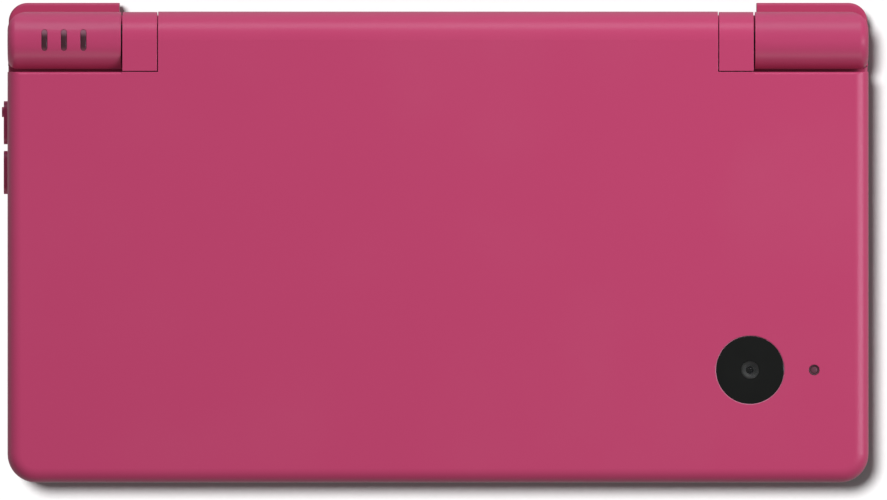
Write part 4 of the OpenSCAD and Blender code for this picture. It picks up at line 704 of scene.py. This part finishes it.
# %% [markdown]
# ## Caps of the status lights
# Three narrow windows on the left barrel show power, charge and wireless. A flat cap would stand
# off the round barrel, so the outline is laid on a cylinder just above it.

# %% Caps of the three status lights
middle = span("status_lenses")[2]
cap_r, cap_foot, cap_pitch = 4.53 * mm, 18.45 * mm, 3.1 * mm
line = rounded_outline(0.89 * mm, 3.34 * mm, 0.44 * mm, 10)


def barrel_cap(shares):
    """The outline shrunk by each share and laid on the barrel:
    z = axis + sqrt(r^2 - (y - axis)^2)."""
    rings = []
    for share in shares:
        x, y = middle[0] + share * line[:, 0], axis_y + share * line[:, 1]
        rings.append(np.column_stack([x, y, axis_z + np.sqrt(cap_r ** 2 - (y - axis_y) ** 2)]))
    return np.stack(rings)


cap = barrel_cap([0.0, 1.0, 1.0, 0.75, 0.5, 0.25, 0.0])
cap[:2, :, 2] = cap_foot
caps = repeated("status_light_caps", cap, [-cap_pitch, 0.0, cap_pitch])
add_piece(caps, "base", status_lens, "light_lens")

# %% [markdown]
# ## The upper screen's window
# A clear plate covers the screen, with a black border printed on its back so that only the
# picture shows. One dark plate would hide the screen, so glass and print are separate pieces
# here. The plate's edge is rounded by 0.25 mm, which draws the thin bright line round the real
# one.

# %% Window and printed border
low, high, middle = span("upper_screen_window")
width, depth = (high - low)[:2]
window_low, window_high, ink, shy = low[2], high[2], 0.03 * mm, 0.6 * mm
glass = plate(middle, width, depth, 2 * mm, window_low, window_high - ink, 0.25 * mm)
add_piece(mesh_from_rings("upper_window_glass", glass), "lid", cover_glass, "black_window",
          "upper_screen_window")
picture = (66 * mm, 49.5 * mm)
border = picture_frame(middle, (width - shy, depth - shy), picture, 1.7 * mm, 0.3 * mm,
                       window_high - 0.8 * ink, window_high)
add_piece(mesh_from_rings("upper_window_print", border, loop=True), "lid", black_window,
          "black_window")

# %% [markdown]
# ## Small things behind the openings
# Through the slots one sees the cloth before the speakers, and gilt contacts in the card slots,
# the charger socket and the headphone socket. They are too small for the CAD model to need them,
# but without them the openings look like plain holes. Each flat contact is a bent strip: a path
# in the side view, given a width and a thickness, then repeated along the row.

# %% Speaker cloth
speaker_cloth, tree, shader = new_finish("speaker_cloth")
weave = place(tree, row_pattern, Pitch_X=0.00035, Pitch_Y=0.00035)
threads = blend_colour(tree, weave["Crossed"], (0.02, 0.018, 0.019, 1), (0.09, 0.085, 0.085, 1))
feed(tree, shader, Base_Color=threads, Roughness=times_plus(tree, weave["Along"], 0.2, 0.65))
wear_bump(tree, shader, weave["Crossed"], 1e-4)
low, high, middle = span("speakers")
cloth_foot, cloth_top, speaker_x = low[2] - 0.045 * mm, low[2] - 0.005 * mm, 52.5 * mm
for side, label in ((-1, "left"), (1, "right")):
    centre = (side * speaker_x, middle[1])
    cloth = plate(centre, 9 * mm, 12 * mm, 2 * mm, cloth_foot, cloth_top, 0.01 * mm)
    add_piece(mesh_from_rings("speaker_cloth_" + label, cloth), "lid", speaker_cloth,
              "black_plastic")

# %% Gilt contacts of the game card slot, the memory card slot and the charger


def add_contacts(name, path, width, thick, steps, axis=0):
    """A row of bent gilt strips: each is as wide as given along the axis that the row follows."""
    pins = strip(path, width, thick, np.eye(3)[axis])
    add_piece(repeated(name, pins, steps, axis), "base", gilt, "steel")


t = np.linspace(0, 1, 10)
low, high, middle = span("card_socket")
wall_y, card_pitch = low[1] + 2.25 * mm, 1.7 * mm
path_y = wall_y + (-0.8 + 3.6 * t) * mm
path_z = low[2] + (3.2 - 0.7 * np.sin(np.pi * t ** 0.8)) * mm
path = np.column_stack([0 * t, path_y, path_z])
add_contacts("game_card_contacts", path, 0.55 * mm, 0.12 * mm, np.arange(-8, 9) * card_pitch)
low, high, middle = span("memory_card_socket")
path_x = low[0] + (1.6 + 5 * t) * mm
path_z = high[2] - (0.55 + 0.5 * np.sin(np.pi * t)) * mm
steps = middle[1] + np.linspace(-9.6, 9.6, 9) * mm
path = np.column_stack([path_x, 0 * t, path_z])
add_contacts("memory_card_contacts", path, 0.9 * mm, 0.12 * mm, steps, axis=1)
low, high, middle = span("charger_socket")
path_y = np.linspace(low[1] + 1.2 * mm, high[1] - 1.5 * mm, 6)
path = np.column_stack([0 * path_y, path_y, np.full(6, middle[2] + 0.42 * mm)])
steps = middle[0] + np.linspace(-1.6, 1.6, 4) * mm
add_contacts("charger_contacts", path, 0.42 * mm, 0.06 * mm, steps)

# %% Contact ring of the headphone socket, and the lens of the inner camera
jack = (-60.4 * mm, span("headphone_socket")[0][1], 5.2 * mm)
band = np.array([(1.66, 2.2), (1.79, 2.2), (1.79, 3.2), (1.66, 3.2), (1.62, 2.7)]) * mm
turned_piece("headphone_contact", band, jack, "base", gilt, "steel", around=48, axis=1)
low, high, middle = span("inner_camera_window")
eye_r = np.array([0, 0.35, 0.5, 0.55, 0]) * mm
eye_z = low[2] + np.array([-0.02, -0.02, -0.01, 0.05, 0.05]) * mm
turned_piece("inner_camera_eye", np.column_stack([eye_r, eye_z]), (middle[0], middle[1], 0), "lid",
             ring_finish, "black_plastic", around=48)

# %% [markdown]
# ## Floor, world and lamps
# The console lies on white paper. A soft box at the upper right gives the lid its even light. Two
# cool strips draw bright lines: one beyond the hinge for the barrels, one at the right for the
# lid's edge. A card at the left lifts the dark side, and a low strip in front reaches the barrels
# and the volume keys.
# One lamp could light everything, but then the paper's white, its soft shadow at the lower right
# and the lid's even tone would all change together. So a sun lights the paper alone, the studio
# lamps light the object alone, and the lid casts no shadow in the light of the front strip. The
# paper throws back less light than the camera sees in it, which keeps the console's sides dark.

# %% Floor
floor_finish, tree, shader = new_finish("white_paper")
fibres = noise(tree, 900.0, 3.0)
paper = blend_colour(tree, fibres, (0.8, 0.8, 0.8, 1), (0.84, 0.84, 0.84, 1))
grey = blend_colour(tree, fibres, (0.34, 0.34, 0.34, 1), (0.36, 0.36, 0.36, 1))
to_camera = add(tree, "LightPath").outputs["Is Camera Ray"]
seen = blend_colour(tree, to_camera, grey, paper)
feed(tree, shader, Base_Color=seen, Roughness=times_plus(tree, fibres, 0.1, 0.8))
wear_bump(tree, shader, fibres, 1e-6)
reach, lines, floor_z = 2.5, 9, -0.02 * mm
grid_x, grid_y = np.meshgrid(*[np.linspace(-reach, reach, lines)] * 2)
points = np.column_stack([grid_x.ravel(), grid_y.ravel(), np.full(grid_x.size, floor_z)])
corner = np.arange(lines * lines).reshape(lines, lines)[:-1, :-1].ravel()
quads = np.column_stack([corner, corner + 1, corner + lines + 1, corner + lines])
floor_mesh = mesh_from_faces("floor", points, quads)
floor_mesh.materials.append(floor_finish)
floor = bpy.data.objects.new("floor", floor_mesh)
bpy.context.scene.collection.objects.link(floor)
print("floor of", 2 * reach, "m with", len(quads), "faces")

# %% World: white for the camera, dim for everything else
world = bpy.data.worlds.new("studio")
bpy.context.scene.world = world
world.use_nodes = True
tree = world.node_tree
tree.nodes.clear()
room = 0.14
to_camera = add(tree, "LightPath").outputs["Is Camera Ray"]
level = times_plus(tree, to_camera, 1.0 - room, room)
background = add(tree, "Background", Color=(1, 1, 1, 1), Strength=level)
add(tree, "OutputWorld", Surface=background.outputs[0])
print("world: the room adds", room)

# %% Lamps


def lamp(name, kind, source, target, power, size, size_y=None):
    """A lamp at source that shines at target and that the camera doesn't see: an area of size by
    size_y metres, or a sun as wide as size in degrees."""
    data = bpy.data.lights.new(name, kind)
    data.energy = power
    if kind == "AREA":
        data.shape = "RECTANGLE"
        data.size, data.size_y = size, size_y or size
    else:
        data.angle = math.radians(size)
    made = bpy.data.objects.new(name, data)
    bpy.context.scene.collection.objects.link(made)
    made.location = source
    made.rotation_mode = "QUATERNION"
    way = Vector(np.subtract(target, source).tolist())
    made.rotation_quaternion = way.to_track_quat("-Z", "Y")
    made.visible_camera = False
    print("lamp", name, "power", power)
    return made


top, cool = (0, 0, 15 * mm), (0.92, 0.99, 1.14)
key = lamp("key_softbox", "AREA", (0.34, 0.30, 0.74), top, 7.1, 0.35)
hinge_strip = lamp("hinge_strip", "AREA", (0, 0.56, 0.31), top, 0.9, 0.6, 0.22)
side_strip = lamp("side_strip", "AREA", (0.505, 0.0, 0.395), top, 0.85, 0.07, 0.5)
front_strip = lamp("front_strip", "AREA", (0, -0.6, 0.2), top, 1.25, 0.8, 0.45)
left_card = lamp("left_card", "AREA", (-0.62, 0.0, 0.09), top, 0.3, 0.3, 0.5)
paper_sun = lamp("paper_sun", "SUN", (-0.12, 0.112, 1.0), (0, 0, 0), 3.6, 8.0)
hinge_strip.data.color = side_strip.data.color = cool
key.visible_glossy = left_card.visible_glossy = False
side_strip.visible_diffuse = False

# %% Which lamp lights what


def collected(name, things):
    """A collection of objects that a lamp can be linked to."""
    made = bpy.data.collections.new(name)
    for thing in things:
        made.objects.link(thing)
    return made


meshes = [thing for thing in bpy.context.scene.collection.objects if thing.type == "MESH"]
object_only = collected("lit_by_studio_lamps", [thing for thing in meshes if thing is not floor])
reached = ("base_upper_case", "volume_up_key", "volume_down_key")
base_only = collected("lit_by_front_strip", [nodes[name] for name in reached])
paper_only = collected("lit_by_paper_sun", [floor])
for studio_lamp in (key, hinge_strip, side_strip, left_card):
    studio_lamp.light_linking.receiver_collection = object_only
front_strip.light_linking.receiver_collection = base_only
front_strip.light_linking.blocker_collection = base_only
paper_sun.light_linking.receiver_collection = paper_only

# %% Colour and size
bpy.context.scene.view_settings.view_transform = "Standard"
